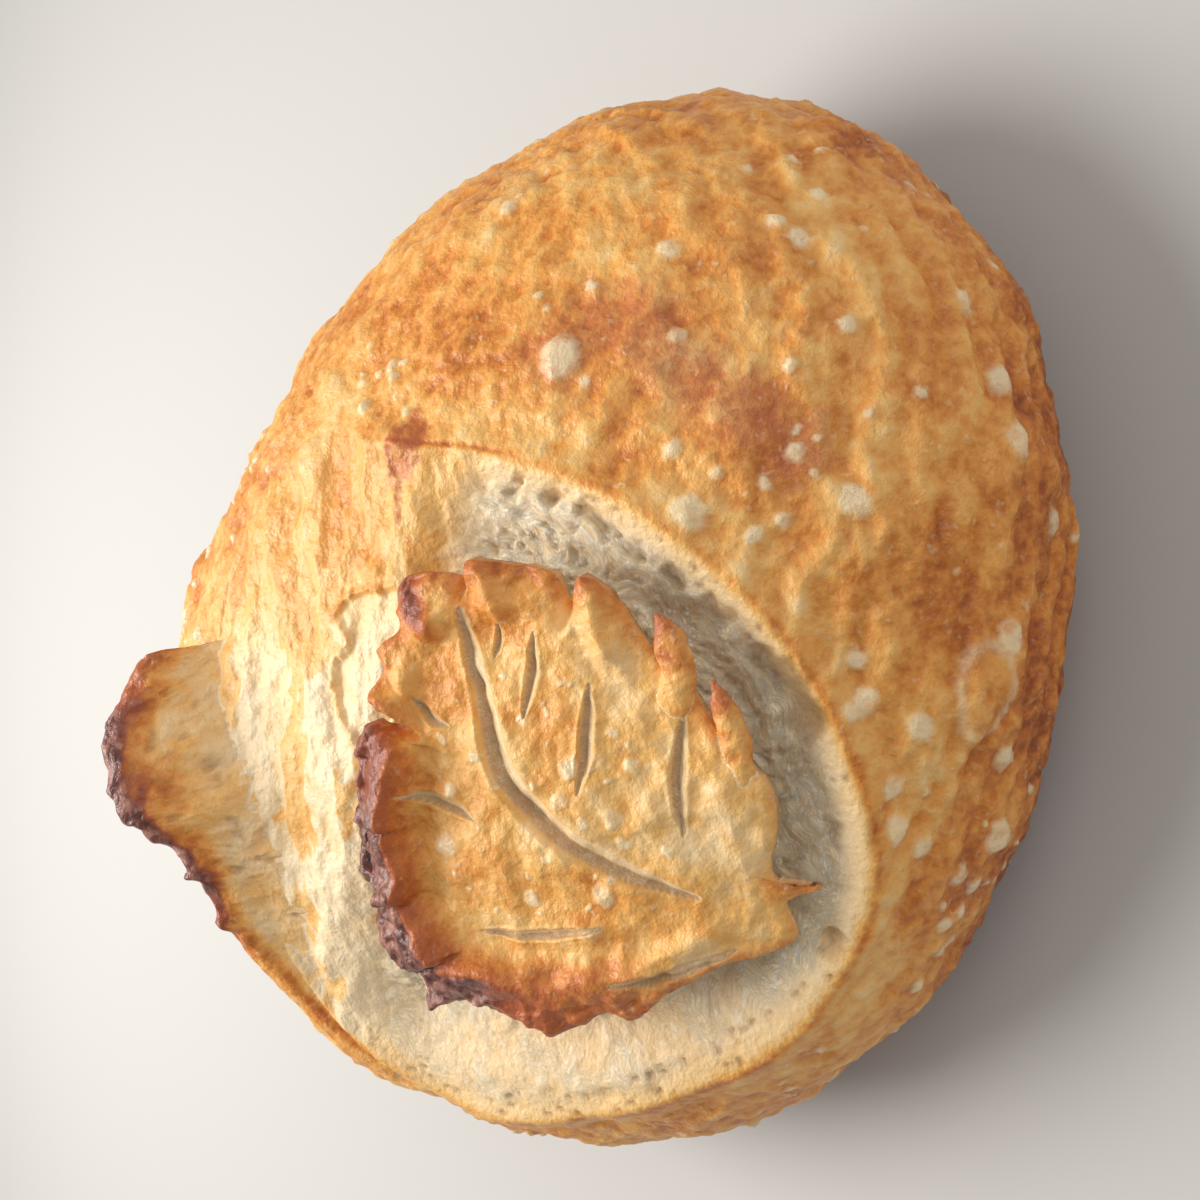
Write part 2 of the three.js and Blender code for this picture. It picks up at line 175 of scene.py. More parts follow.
# Facets
BALL_SUBDIVISIONS = 8
TOP_CROWDING = 0.48

# Colours as the screen shows them, 0 to 255; a list's first numbers are shares of browning or grain
CRUST_COLOURS = [
    (0.0, (247, 227, 192)), (0.14, (245, 212, 160)), (0.3, (243, 189, 110)), (0.44, (233, 161, 78)),
    (0.58, (209, 126, 50)), (0.76, (164, 84, 33)), (1.0, (104, 50, 26)),
]
CRUMB_COLOURS = [(0.36, (238, 206, 156)), (0.5, (251, 228, 184)), (0.64, (255, 246, 222))]
CHAR_COLOURS = [(0.36, (74, 38, 32)), (0.5, (124, 74, 64)), (0.64, (184, 132, 116))]
ROSY_COLOUR = (192, 104, 62)
BLISTER_COLOUR = (250, 232, 192)
SPECK_COLOUR = (248, 228, 190)
# Painted shade laid into pits, pockets, pinholes, vein walls, notches, the ear's foot and under the leaf
PORE_SHADE_COLOUR = (158, 112, 68)
# White of the crumb's threads, also a painted highlight on the lit walls of the leaf's veins
THREAD_AND_HIGHLIGHT_COLOUR = (255, 248, 230)
SINGED_COLOUR = (168, 88, 56)
FLOOR_COLOUR = (200, 198, 195)


def smooth(value, start, end):
    t = np.clip((value - start) / (end - start), 0.0, 1.0)
    return t * t * (3 - 2 * t)


def mix(a, b, share):
    return a + (b - a) * share


def bell(offset, width):
    """A soft hump: 1 at offset 0 and fading out on both sides."""
    return np.exp(-((offset / width) ** 2))


def unit(rows):
    return rows / np.linalg.norm(rows, axis=-1, keepdims=True)


def flat(u, v):
    """Points in a plane, as rows of three numbers."""
    return np.stack([u, v, 0 * u], 1)


# Noise over points, the same on every run
GRADIENTS = np.array([g for g in itertools.product((-1, 0, 1), repeat=3) if np.abs(g).sum() == 2], float)


def noise(points, size, seed=0):
    """Gradient noise of about -1 to 1 with lumps of the given size (a number or one per axis)."""
    place = points / size + 31.7 * (seed + 1)
    cell = np.floor(place).astype(np.int64)
    part = place - cell
    ease = part ** 3 * (part * (part * 6 - 15) + 10)
    total = np.zeros(len(points))
    for corner in itertools.product((0, 1), repeat=3):
        key = cell + corner
        code = (key[:, 0] * 73856093) ^ (key[:, 1] * 19349663) ^ (key[:, 2] * 83492791)
        gradient = GRADIENTS[((code ^ (code >> 9)) * 2654435761 >> 7) % len(GRADIENTS)]
        share = np.prod(np.where(corner, ease, 1 - ease), axis=1)
        total += share * ((part - corner) * gradient).sum(axis=1)
    return 1.5 * total


def layered(points, size, seed=0, layers=3):
    total = np.zeros(len(points))
    for layer in range(layers):
        total += noise(points, np.asarray(size) * 0.5 ** layer, seed + 7 * layer) * 0.55 ** layer
    return total


# The dough body, as in the solid
def plan_radius(angle):
    long = LONG_SHARE * np.cos(2 * (angle - LONG_ANGLE))
    corner = CORNER_SHARE * np.cos(3 * (angle - CORNER_ANGLE))
    return MEAN_RADIUS * (1 + long + corner)


def body_level(p):
    lean = (p[..., 2] / LOAF_HEIGHT) ** 2
    x = p[..., 0] + PLAN_CENTRE[0] - CROWN_SHIFT[0] * lean
    y = p[..., 1] + PLAN_CENTRE[1] - CROWN_SHIFT[1] * lean
    rise = p[..., 2] - WIDEST_HEIGHT
    reach = np.where(rise > 0, LOAF_HEIGHT - WIDEST_HEIGHT, FOOT_DEPTH)
    across = np.hypot(x, y) / plan_radius(np.arctan2(y, x))
    return across ** ROUNDNESS + np.abs(rise / reach) ** ROUNDNESS - 1


def leaned(x, y, z):
    """Points round the leaning axis, from their places round an upright one."""
    lean = (z / LOAF_HEIGHT) ** 2
    x = x + CROWN_SHIFT[0] * lean - PLAN_CENTRE[0]
    y = y + CROWN_SHIFT[1] * lean - PLAN_CENTRE[1]
    return np.stack([x, y, z], axis=1)


def body_point(direction):
    """Where the body's surface lies in each direction from its widest level."""
    across = np.hypot(direction[:, 0], direction[:, 1])
    reach = np.where(direction[:, 2] > 0, LOAF_HEIGHT - WIDEST_HEIGHT, FOOT_DEPTH)
    radius = plan_radius(np.arctan2(direction[:, 1], direction[:, 0]))
    level = (across / radius) ** ROUNDNESS + np.abs(direction[:, 2] / reach) ** ROUNDNESS
    length = level ** (-1 / ROUNDNESS)
    z = np.maximum(WIDEST_HEIGHT + length * direction[:, 2], 0)
    return leaned(length * direction[:, 0], length * direction[:, 1], z)


def body_normal(p):
    step = 0.2
    slope = [body_level(p + step * axis) - body_level(p - step * axis) for axis in np.eye(3)]
    return unit(np.stack(slope, axis=-1))


CHART_U = np.array([1.0, 0, 0]) - LEAF_NORMAL[0] * LEAF_NORMAL
CHART_U /= np.linalg.norm(CHART_U)
CHART_V = np.cross(LEAF_NORMAL, CHART_U)


def to_chart(p):
    offset = p - LEAF_PLACE
    return offset @ CHART_U, offset @ CHART_V


def on_body(u, v, lift=0.0):
    """The body's point under a chart point, raised by lift along the leaf's normal."""
    start = LEAF_PLACE + u[..., None] * CHART_U + v[..., None] * CHART_V
    inside = np.full(u.shape, -75.0)
    outside = np.full(u.shape, 40.0)
    for _ in range(34):
        middle = (inside + outside) / 2
        within = body_level(start + middle[..., None] * LEAF_NORMAL) < 0
        inside = np.where(within, middle, inside)
        outside = np.where(within, outside, middle)
    return start + (inside + lift)[..., None] * LEAF_NORMAL


def spline(points, steps, closed=True):
    """A Catmull-Rom curve through points, the last axis being the coordinates."""
    p = np.asarray(points, float)
    if closed:
        before, start, end, after = np.roll(p, 1, 0), p, np.roll(p, -1, 0), np.roll(p, -2, 0)
    else:
        padded = np.concatenate([[2 * p[0] - p[1]], p, [2 * p[-1] - p[-2]]])
        before, start, end, after = padded[:-3], padded[1:-2], padded[2:-1], padded[3:]
    leave, arrive = 0.5 * (end - before), 0.5 * (after - start)
    t = (np.arange(steps) / steps).reshape((1, steps) + (1,) * (p.ndim - 1))
    start, end, leave, arrive = (part[:, None] for part in (start, end, leave, arrive))
    curve = ((2 * t ** 3 - 3 * t ** 2 + 1) * start + (t ** 3 - 2 * t ** 2 + t) * leave
             + (3 * t ** 2 - 2 * t ** 3) * end + (t ** 3 - t ** 2) * arrive)
    curve = curve.reshape((-1,) + p.shape[1:])
    return curve if closed else np.concatenate([curve, p[-1:]])


def nearest_on(line, u, v, closed=True):
    """For chart points: distance to a line, length along it there, whether inside it, and which side."""
    a = line[:, :2]
    b = np.roll(a, -1, 0)
    if not closed:
        a, b = a[:-1], b[:-1]
    run = b - a
    length = np.linalg.norm(run, axis=1)
    first = np.concatenate([[0], np.cumsum(length)[:-1]])
    distance, along, side = (np.empty(len(u)) for _ in range(3))
    within = np.empty(len(u), bool)
    for low in range(0, len(u), 8192):
        part = slice(low, low + 8192)
        du, dv = u[part, None] - a[:, 0], v[part, None] - a[:, 1]
        t = np.clip((du * run[:, 0] + dv * run[:, 1]) / length ** 2, 0, 1)
        reach = np.hypot(du - t * run[:, 0], dv - t * run[:, 1])
        pick = reach.argmin(axis=1)
        rows = np.arange(len(pick))
        distance[part] = reach[rows, pick]
        along[part] = first[pick] + t[rows, pick] * length[pick]
        side[part] = np.sign(run[pick, 0] * dv[rows, pick] - run[pick, 1] * du[rows, pick])
        crosses = (a[:, 1] > v[part, None]) != (b[:, 1] > v[part, None])
        where = a[:, 0] + dv / np.where(run[:, 1] == 0, 1, run[:, 1]) * run[:, 0]
        within[part] = (crosses & (u[part, None] < where)).sum(axis=1) % 2 == 1
    return distance, along, within, side


def inside_by(line, u, v):
    distance, along, within, _ = nearest_on(line, u, v)
    return np.where(within, distance, -distance), along


def near_path(path, u, v):
    """Distance of chart points to the open curve through a path, and on which side of it they are."""
    distance, _, _, side = nearest_on(spline(path, 8, closed=False), u, v, closed=False)
    return distance, side


RIM = spline(RIM_OUTLINE, 12)
LEAF_EDGE = spline(LEAF_OUTLINE, LEAF_STEPS)
STEM = LEAF_CENTRE + STEM_INSET * (LEAF_EDGE[:, :2] - LEAF_CENTRE)
POCKET = spline(FILM_POCKET, 8)

# Larger blisters of the crust: degrees round the loaf, height and radius in millimetres
NAMED_BLISTERS = [
    (-103, 58, 2.8), (-99, 60, 2.4), (-93, 58, 2.8), (-105, 52, 2.6), (-108, 42, 2.4), (-104, 36, 3.8),
    (-110, 36, 2), (-96, 40, 2.7), (-85, 44, 3), (-92, 68, 1.8), (-87, 68, 1.9), (-91, 66, 2.7),
    (-118, 35, 1.8), (-72, 86, 3.7), (-65, 87, 1.8), (-54, 84, 1.7), (-45, 81, 2.2), (-75, 80, 1.8),
    (-74, 77, 1.7), (-68, 75, 1.9), (-73, 69, 3.2), (-58, 66, 1.9), (-47, 69, 2), (-49, 67, 2.3),
    (-45, 61, 1.7), (-69, 43, 3.5), (-64, 44, 2.9), (-57, 46, 2.5), (-75, 33, 2.7), (-50, 94, 4.4),
]
RING_BUBBLE = ((-4.9, -117.2, 48.2), 8.5, 4.6)
BLISTER_COUNT = 330
# More toasted patches: degrees round the loaf, height, size and strength
TOASTED = [
    (-78, 58, 9, 0.8), (-84, 54, 11, 1), (-111, 50, 6, 1), (-89, 39, 6, 1), (-82, 68, 5, 0.6),
    (-62, 41, 7, 0.6), (-141, 41, 6, 1), (-40, 101, 8, 0.8), (-66, 77, 9, 0.7), (-20, 60, 12, 0.6),
    (30, 70, 14, 0.8), (75, 60, 16, 0.9), (120, 75, 12, 0.7), (160, 50, 14, 0.9), (-165, 62, 10, 0.7),
]
# Torn pockets in the crumb: (u, v, half length along the hollow, half width, depth)
CRUMB_POCKETS = [
    (18.5, -40.5, 9.5, 4.2, 3.6), (57.2, 18.2, 4.2, 2.2, 2.4), (56.3, 8.4, 1.8, 1.5, 2.0),
    (53.6, 1.2, 3.4, 2.2, 2.4), (48.2, -9.4, 3.6, 2.2, 2.2), (43.2, -15.6, 3.2, 2.0, 2.0),
    (38.2, -22, 4.2, 2.6, 2.2), (31.5, -29.5, 4.4, 2.8, 2.6), (-29.5, -47, 2.6, 2.0, 2.6),
    (-10, -48.5, 2.4, 1.6, 1.6), (-77, 25, 3.2, 1.6, 1.6), (-70, 2, 3.4, 1.6, 1.4), (-62, -12, 3, 1.6, 1.4),
]
PINHOLE_COUNT = 130


def dome(distance, radius):
    return np.clip(1 - (distance / radius) ** 2, 0, 1) ** 0.8


def scatter(points, centres, radii, heights, longer=1.35):
    """Raise uneven blisters, longer than high: their height and how far each point lies on one."""
    height = np.zeros(len(points))
    cover = np.zeros(len(points))
    shake = [noise(points, 2.6, 201 + k) + 0.25 * noise(points, 1.3, 205 + k) for k in range(3)]
    shake = np.stack(shake, 1)
    stretch = np.array([1, 1, longer])
    points32 = ((points + 0.55 * shake) * stretch).astype(np.float32)
    square = (points32 ** 2).sum(axis=1)
    for low in range(0, len(centres), 64):
        part = slice(low, low + 64)
        c = (centres[part] * stretch).astype(np.float32)
        apart = square[:, None] + (c ** 2).sum(axis=1) - 2 * points32 @ c.T
        rows, columns = np.nonzero(apart < (radii[part] ** 2)[None, :])
        distance = np.sqrt(np.maximum(apart[rows, columns], 0))
        shape = dome(distance, radii[part][columns])
        np.maximum.at(height, rows, heights[part][columns] * shape)
        np.maximum.at(cover, rows, shape)
    return height, cover


def on_side(degrees, z):
    """The body's points at angles round its leaning axis and at heights."""
    angle = np.radians(degrees)
    reach = np.where(z > WIDEST_HEIGHT, LOAF_HEIGHT - WIDEST_HEIGHT, FOOT_DEPTH)
    across = (1 - np.abs((z - WIDEST_HEIGHT) / reach) ** ROUNDNESS) ** (1 / ROUNDNESS) * plan_radius(angle)
    return leaned(across * np.cos(angle), across * np.sin(angle), z)


def crust_blisters(points):
    """Seeded blisters, more of them low on the sides, and the larger ones at their places."""
    place = body_point(unit(RANDOM.normal(size=(BLISTER_COUNT * 4, 3))))
    u, v = to_chart(place)
    facing = body_normal(place) @ LEAF_NORMAL
    depth_in, _ = inside_by(RIM, u, v)
    clustered = layered(place, 26.0, 5, 2) + 0.35 - place[:, 2] / 200
    keep = (place[:, 2] > 5) & ((depth_in < -3.5) | (facing < 0.2))
    keep &= clustered > RANDOM.uniform(-0.6, 0.9, len(place))
    place = place[keep][:BLISTER_COUNT]
    radii = 0.95 + RANDOM.exponential(0.42, len(place)).clip(0, 2.4)
    named = np.array(NAMED_BLISTERS, float)
    place = np.concatenate([place, on_side(named[:, 0], named[:, 1])])
    radii = np.concatenate([radii, named[:, 2] * 1.1])
    return scatter(points, place, radii, np.minimum(0.3 + 0.32 * radii, 1.1))


def warped(u, v):
    """Where a chart point lies along the rim and inside it, unevenly drawn."""
    depth_in, along = inside_by(RIM, u, v)
    chart = flat(u, v)
    a = along + 4.5 * noise(chart, 15.0, 3) + 1.6 * noise(chart, 5.0, 5)
    d = depth_in + 2.6 * noise(chart, 11.0, 4) + 1.2 * noise(chart, 4.2, 6)
    return a, d


def crumb_relief(u, v, depth_in):
    """Folds, strands, torn pockets and pits of the crumb: height, painted shade in pits and pockets,
    strands and flow.
    """
    a, d = warped(u, v)
    sheet = flat(a, d)
    deep = smooth(depth_in, 3.0, 8.0)
    height = 0.9 * layered(sheet, (15.0, 3.6, 1), 11, 3) * (0.25 + 0.75 * deep)
    strand = np.zeros(len(u))
    for size, width, seed in (((12, 3.4, 1), 0.09, 14), ((6, 2.4, 1), 0.1, 16), ((3.6, 5, 1), 0.07, 18)):
        strand = np.maximum(strand, bell(noise(sheet, size, seed), width))
    pits = noise(sheet, (5.5, 2.4, 1), 20) + 0.5 * noise(sheet, (2.4, 1.4, 1), 21)
    pits = smooth(pits, 0.1, 0.6) * deep * (1 - 0.6 * strand)
    height += 0.5 * deep * strand - 0.8 * pits + 0.16 * layered(sheet, (3.2, 1.1, 1), 23, 2)
    # Painted shade in the pits
    pore_shade = 0.35 * pits
    for pu, pv, long, wide, deepness in CRUMB_POCKETS:
        centre_along, centre_in = warped(np.array([pu]), np.array([pv]))
        across = (d - centre_in) / wide
        away = np.hypot((a - centre_along) / long, across)
        away = np.where(np.hypot(u - pu, v - pv) < 2.5 * long, away, 9)
        bowl = np.clip(1 - away ** 2, 0, 1) ** 0.45
        height -= 1.25 * deepness * bowl * (1 - 0.35 * smooth(across, -0.4, 0.8))
        # Painted shade in the pocket, darkest on the side under the rim's lip
        shade = np.clip(1.1 - away ** 2, 0, 1) ** 0.5 * (1 - 0.75 * smooth(across, -0.3, 0.5))
        pore_shade = np.maximum(pore_shade, 0.7 * shade)
        strand = strand * mix(0.4, 1, smooth(away, 0.6, 1.2))
    return height, pore_shade, strand * deep, sheet


def pinholes(u, v):
    """Pinholes in the drawn band just inside the rim."""
    run = np.roll(RIM, -1, 0) - RIM
    step = np.linalg.norm(run, axis=1)
    centre_along = RANDOM.uniform(0, step.sum() * 0.78, PINHOLE_COUNT)
    centre_in = RANDOM.uniform(1.2, 6.5, PINHOLE_COUNT)
    size = RANDOM.uniform(0.3, 0.6, PINHOLE_COUNT)
    reach = np.concatenate([[0], np.cumsum(step)[:-1]])
    pick = np.searchsorted(reach, centre_along) % len(RIM)
    tangent = unit(run[pick])
    inward = np.stack([-tangent[:, 1], tangent[:, 0]], 1) * -1
    centre = RIM[pick] + inward * centre_in[:, None]
    hole = np.zeros(len(u))
    for (cu, cv), (tu, tv), s in zip(centre, tangent, size):
        near = np.nonzero((np.abs(u - cu) < 3) & (np.abs(v - cv) < 3))[0]
        du, dv = u[near] - cu, v[near] - cv
        away = np.hypot((du * tu + dv * tv) / (2.4 * s), (dv * tu - du * tv) / s)
        hole[near] = np.maximum(hole[near], np.clip(1 - away ** 2, 0, 1))
    return hole


def crowded_ball():
    """Directions from the middle to a fine ball's corners, crowded towards the leaf, and its triangles."""
    ball = bmesh.new()
    bmesh.ops.create_icosphere(ball, subdivisions=BALL_SUBDIVISIONS, radius=1.0)
    mesh = bpy.data.meshes.new("ball")
    ball.to_mesh(mesh)
    ball.free()
    d = np.empty(len(mesh.vertices) * 3)
    mesh.vertices.foreach_get("co", d)
    d = d.reshape(-1, 3)
    faces = np.empty(len(mesh.loops), np.int32)
    mesh.loops.foreach_get("vertex_index", faces)
    bpy.data.meshes.remove(mesh)

    d = unit(d)
    flat = TOP_CROWDING ** 2 * (1 - d[:, 2]) / (1 + d[:, 2] + 1e-9)
    height = (1 - flat) / (1 + flat)
    across = np.maximum(np.hypot(d[:, 0], d[:, 1]), 1e-9)
    width = np.sqrt(np.maximum(1 - height ** 2, 0)) / across
    crowded = np.stack([d[:, 0] * width, d[:, 1] * width, height], 1)
    turn = np.array(Vector((0, 0, 1)).rotation_difference(Vector(LEAF_NORMAL)).to_matrix())
    return crowded @ turn.T, faces.reshape(-1, 3)


def dough_site(plain):
    """Where the points of the plain body lie: in the chart, inside the rim and on which side of it."""
    normal = body_normal(plain)
    u, v = to_chart(plain)
    facing = smooth(normal @ LEAF_NORMAL, 0.2, 0.45)
    top = facing > 0
    depth_in = np.full(len(u), FAR_OUTSIDE)
    depth_in[top] = inside_by(RIM, u[top], v[top])[0]
    behind = np.clip(smooth(0.35 * u + v, 26, 52) + smooth(-u - 0.2 * v, 52, 72), 0, 1)
    rear = np.clip(smooth(0.35 * u + v, 30, 44), 0, 1)
    return SimpleNamespace(
        plain=plain, normal=normal, u=u, v=v, chart=flat(u, v), facing=facing, top=top,
        depth_in=depth_in, cut_side=1 - behind, rear=rear, crumb_share=1 - rear,
        left_side=smooth(-u - 0.2 * v, 40, 60), sharp_rim=1 - smooth(0.8 * u + v, 88, 112),
        inside=facing * smooth(depth_in, -0.2, 0.9))


def hollow_relief(at):
    """Slow waves of the body, the raised rim and the hollow, and where the leaf's stem covers it."""
    x, y, z = at.plain.T
    wave = (WAVE_HEIGHT * np.sin(x / (0.16 * WAVE_LENGTH) + np.sin(y / (0.3 * WAVE_LENGTH)))
            * np.sin(y / (0.2 * WAVE_LENGTH) + 1.3 * np.sin(z / (0.24 * WAVE_LENGTH))) * smooth(z, 4, 24))
    ridge_width = np.where(at.depth_in > 0, RIDGE_WIDTH_IN, RIDGE_WIDTH_OUT)
    ridge = RIDGE_HEIGHT * bell(at.depth_in, ridge_width) * at.sharp_rim
    stem_by = np.full(len(x), FAR_OUTSIDE)
    stem_by[at.top], _ = inside_by(STEM, at.u[at.top], at.v[at.top])
    stem_under = smooth(stem_by, -5, 3)
    valley = mix(SOFT_DEPTH, VALLEY_DEPTH, at.cut_side) * smooth(at.depth_in, 1.5, VALLEY_SLOPE)
    height = at.facing * (ridge - valley * (1 - stem_under) - stem_under)
    height += wave * (1 - at.facing * smooth(at.depth_in, 0, 9))
    return height, stem_under


def ring_bubble(plain, lumps):
    """The large burst bubble low on the front: how far each point lies on its wall and within it."""
    place, long, wide = RING_BUBBLE
    away = plain - np.array(place) + 0.4 * lumps[:, None]
    ring = np.hypot(np.hypot(away[:, 0], away[:, 1]) / long, away[:, 2] / wide)
    return bell(ring - 1, 0.13), smooth(1 - ring, 0, 0.4)


def crust_surface(at):
    """Wrinkles round the sides, lumps, pebbles, blisters, and the nub and fold at the rim's end."""
    plain, u, v = at.plain, at.u, at.v
    x, y, z = plain.T
    side = smooth(z, 1.5, 12)
    belt = np.clip(1.25 * smooth(x + 0.4 * z - 0.15 * y, -60, 40), 0, 1) * (1 - smooth(z, 72, 96)) * side
    bend = 4.6 * noise(plain, 34.0, 2) + 1.6 * noise(plain, 12.0, 4)
    level = z + 0.12 * x
    wrinkle = np.sin((level + bend) * 2 * math.pi / WRINKLE_PERIOD) * (0.55 + 0.6 * noise(plain, 22.0, 9))
    crease = np.sin((level + 1.4 * bend) * 2 * math.pi / CREASE_PERIOD)
    crease *= np.clip(noise(plain, 15.0, 8) + 0.3, 0, 1)
    lumps = LUMP_HEIGHT * layered(plain * (1, 1, 1.4), LUMP_SIZE, 21, 3) * side
    pebbles = PEBBLE_HEIGHT * layered(plain, PEBBLE_SIZE, 31, 2)
    pebbles += KNOLL_HEIGHT * layered(plain * (1, 1, 1.3), KNOLL_SIZE, 35, 2)
    blister_height, blister = crust_blisters(plain)
    ring_wall, ring_floor = ring_bubble(plain, lumps)
    blister_height += 0.7 * ring_wall + 0.4 * ring_floor
    blister = np.maximum(blister, 0.42 * ring_wall)
    near_rim = smooth(-at.depth_in, 0, 9) * at.facing + (1 - at.facing)
    height = (WRINKLE_HEIGHT * wrinkle + CREASE_HEIGHT * crease) * belt
    height = height + lumps * mix(0.35, 1, near_rim) + pebbles * mix(0.4, 1, near_rim)
    height = (height + blister_height * smooth(-at.depth_in, 1, 4)) * side
    nub = np.exp(-((u - NUB_PLACE[0]) / 4.2) ** 2 - ((v - NUB_PLACE[1]) / 2.8) ** 2) * at.facing
    fold = bell(at.depth_in + 0.9, 0.55) * smooth(v, 6, 14) * (1 - smooth(v, 34, 37)) * smooth(u, 50, 56)
    height += 1.5 * nub - 0.4 * fold
    return SimpleNamespace(height=height, blister=blister, wrinkles=wrinkle * belt, lumps=lumps,
                           pebbles=pebbles, fold=fold)


def opened_surface(at):
    """The crumb on the cut side and the pale drawn dough behind the leaf, inside the rim."""
    u, v, chart, inside = at.u, at.v, at.chart, at.inside
    crumb_height, pore_shade, strand, hole = (np.zeros(len(u)) for _ in range(4))
    flow = chart.copy()
    part = np.nonzero(inside > 0)[0]
    relief = crumb_relief(u[part], v[part], at.depth_in[part])
    crumb_height[part], pore_shade[part], strand[part], flow[part] = relief
    hole[part] = pinholes(u[part], v[part])
    flatten = mix(1, 0.4, at.left_side)
    folds = 1.2 * layered(chart, (20.0, 11.0, 1), 41, 3) + 0.22 * layered(chart, (5.0, 3.2, 1), 43, 2)
    pocket_by = np.full(len(u), FAR_OUTSIDE)
    pocket_by[part], _ = inside_by(POCKET, u[part], v[part])
    pocket_by += 1.2 * noise(chart, 6.0, 44) + 0.6 * noise(chart, 2.2, 45)
    pocket = smooth(pocket_by, -0.2, 0.9) * inside
    film_lip = bell(pocket_by + 0.6, 0.7) * inside * smooth(v, 36, 42)
    ear_foot = bell(at.depth_in - 2.0, 2.0) * smooth(v, 62, 76) * smooth(-u, 14, 30)
    pale_height = folds - 0.9 * pocket + 0.35 * film_lip - 1.6 * ear_foot
    height = mix(pale_height, crumb_height * flatten - 0.7 * hole, at.crumb_share)
    # Painted shade in the pinholes and in the groove at the ear's foot
    pore_shade = np.maximum(pore_shade * flatten, hole) * at.crumb_share + 0.4 * ear_foot
    return SimpleNamespace(height=height, pore_shade=pore_shade, strand=strand, flow=flow, folds=folds, pocket=pocket,
                           film_lip=film_lip)


def pale_bake_and_shade(at, opened, patch):
    """How brown the dough inside the rim is, with the torn golden film over its rear part, and painted
    shade in the hollows of its folds.
    """
    u, v = at.u, at.v
    golden = smooth(u + 0.25 * v, 30, 62) * at.rear
    shreds = noise(at.chart, (17.0, 8.0, 1), 81) + 0.5 * noise(at.chart, (4.5, 2.4, 1), 82) - 0.32
    shreds += 0.7 * np.exp(-(((u - 8) / 24) ** 2 + ((v - 66) / 7) ** 2)) + 0.3 * smooth(u, 10, 50)
    film = smooth(shreds, 0.2, 0.3) * (1 - opened.pocket) * at.rear
    film_edge = bell(shreds - 0.24, 0.05) * (1 - opened.pocket) * at.rear
    bake = 0.06 + 0.28 * golden + mix(0.2, 0.1, golden) * film + 0.09 * film_edge
    bake += 0.08 * patch * golden
    # Browner film lip, and painted shade in the hollows of the folds
    bake += 0.14 * opened.film_lip + 0.08 * smooth(opened.folds, -0.3, -1.3)
    drawn = 0.3 - 0.17 * smooth(at.depth_in, 0, 2.4) + 0.05 * at.left_side
    return mix(drawn, bake, at.rear)


def crust_bake_and_shade(at, crust, patch, grain):
    """How brown the crust is, from 0 for pale dough to 1 for dark crust, and partly painted shade: darker
    low on the sides, on the rim towards the front and in the troughs of its relief.
    """
    z, depth_in, on_rim = at.plain[:, 2], at.depth_in, at.facing * at.sharp_rim
    bake = 0.44 + 0.11 * patch + 0.06 * grain
    # Darker in the troughs of the wrinkles, lumps and pebbles and paler on their crests: partly the crust's
    # own mottle, partly painted shade
    bake = bake - 0.06 * crust.wrinkles - 0.03 * crust.lumps - 0.17 * crust.pebbles
    toasted = np.array(TOASTED, float)
    for place, (_, _, size, strength) in zip(on_side(toasted[:, 0], toasted[:, 1]), toasted):
        reach = np.linalg.norm((at.plain - place) * (1, 1, 1.7), axis=1) + 0.45 * size * (patch + grain)
        bake += 0.17 * strength * (1 - smooth(reach, 0.1 * size, 1.4 * size))
    # Browner on the rim towards the front: partly the crust's own colour, partly painted shade
    rim_low = smooth(-at.v, -5, 45)
    bake += 0.1 * rim_low * bell(depth_in + 0.4, 1) * on_rim
    bake -= 0.09 * smooth(depth_in, -14, -3) * (1 - smooth(depth_in, -2, 0)) * on_rim
    # Darker low on the sides: partly the browner underside of the loaf, partly painted shade; browner along
    # the fold
    return bake + (0.22 * (1 - smooth(z, 5, 66)) + 0.22 * (1 - smooth(z, 2, 34)) + 0.3 * crust.fold)


def rosy_marks(at, grain):
    """How red the crust is along the rosy line beside the leaf, and at the nub and its arm."""
    u, v = at.u, at.v
    away = np.full(len(u), -FAR_OUTSIDE)
    away[at.top] = near_path(ROSY_LINE, u[at.top], v[at.top])[0]
    rosy = 0.95 * smooth(at.facing, 0, 0.3)
    rosy *= smooth(-away + 2.5 * noise(at.chart, 9.0, 71) + 1.5 * grain, -10, -2)
    nub_away = np.hypot((u - 63.5) / 1.5, v - 33.5 + 0.25 * (u - 63)) + 1.2 * noise(at.chart, 3.0, 73)
    nub = at.facing * smooth(-nub_away, -5.6, -2.4)
    arm_away = np.hypot(v - 35.4, np.clip(50 - u, 0, 90) + np.clip(u - 62, 0, 90))
    arm = at.facing * smooth(-arm_away, -1.4, -0.4)
    return np.maximum(np.maximum(rosy, 1.6 * nub), 0.9 * arm), nub


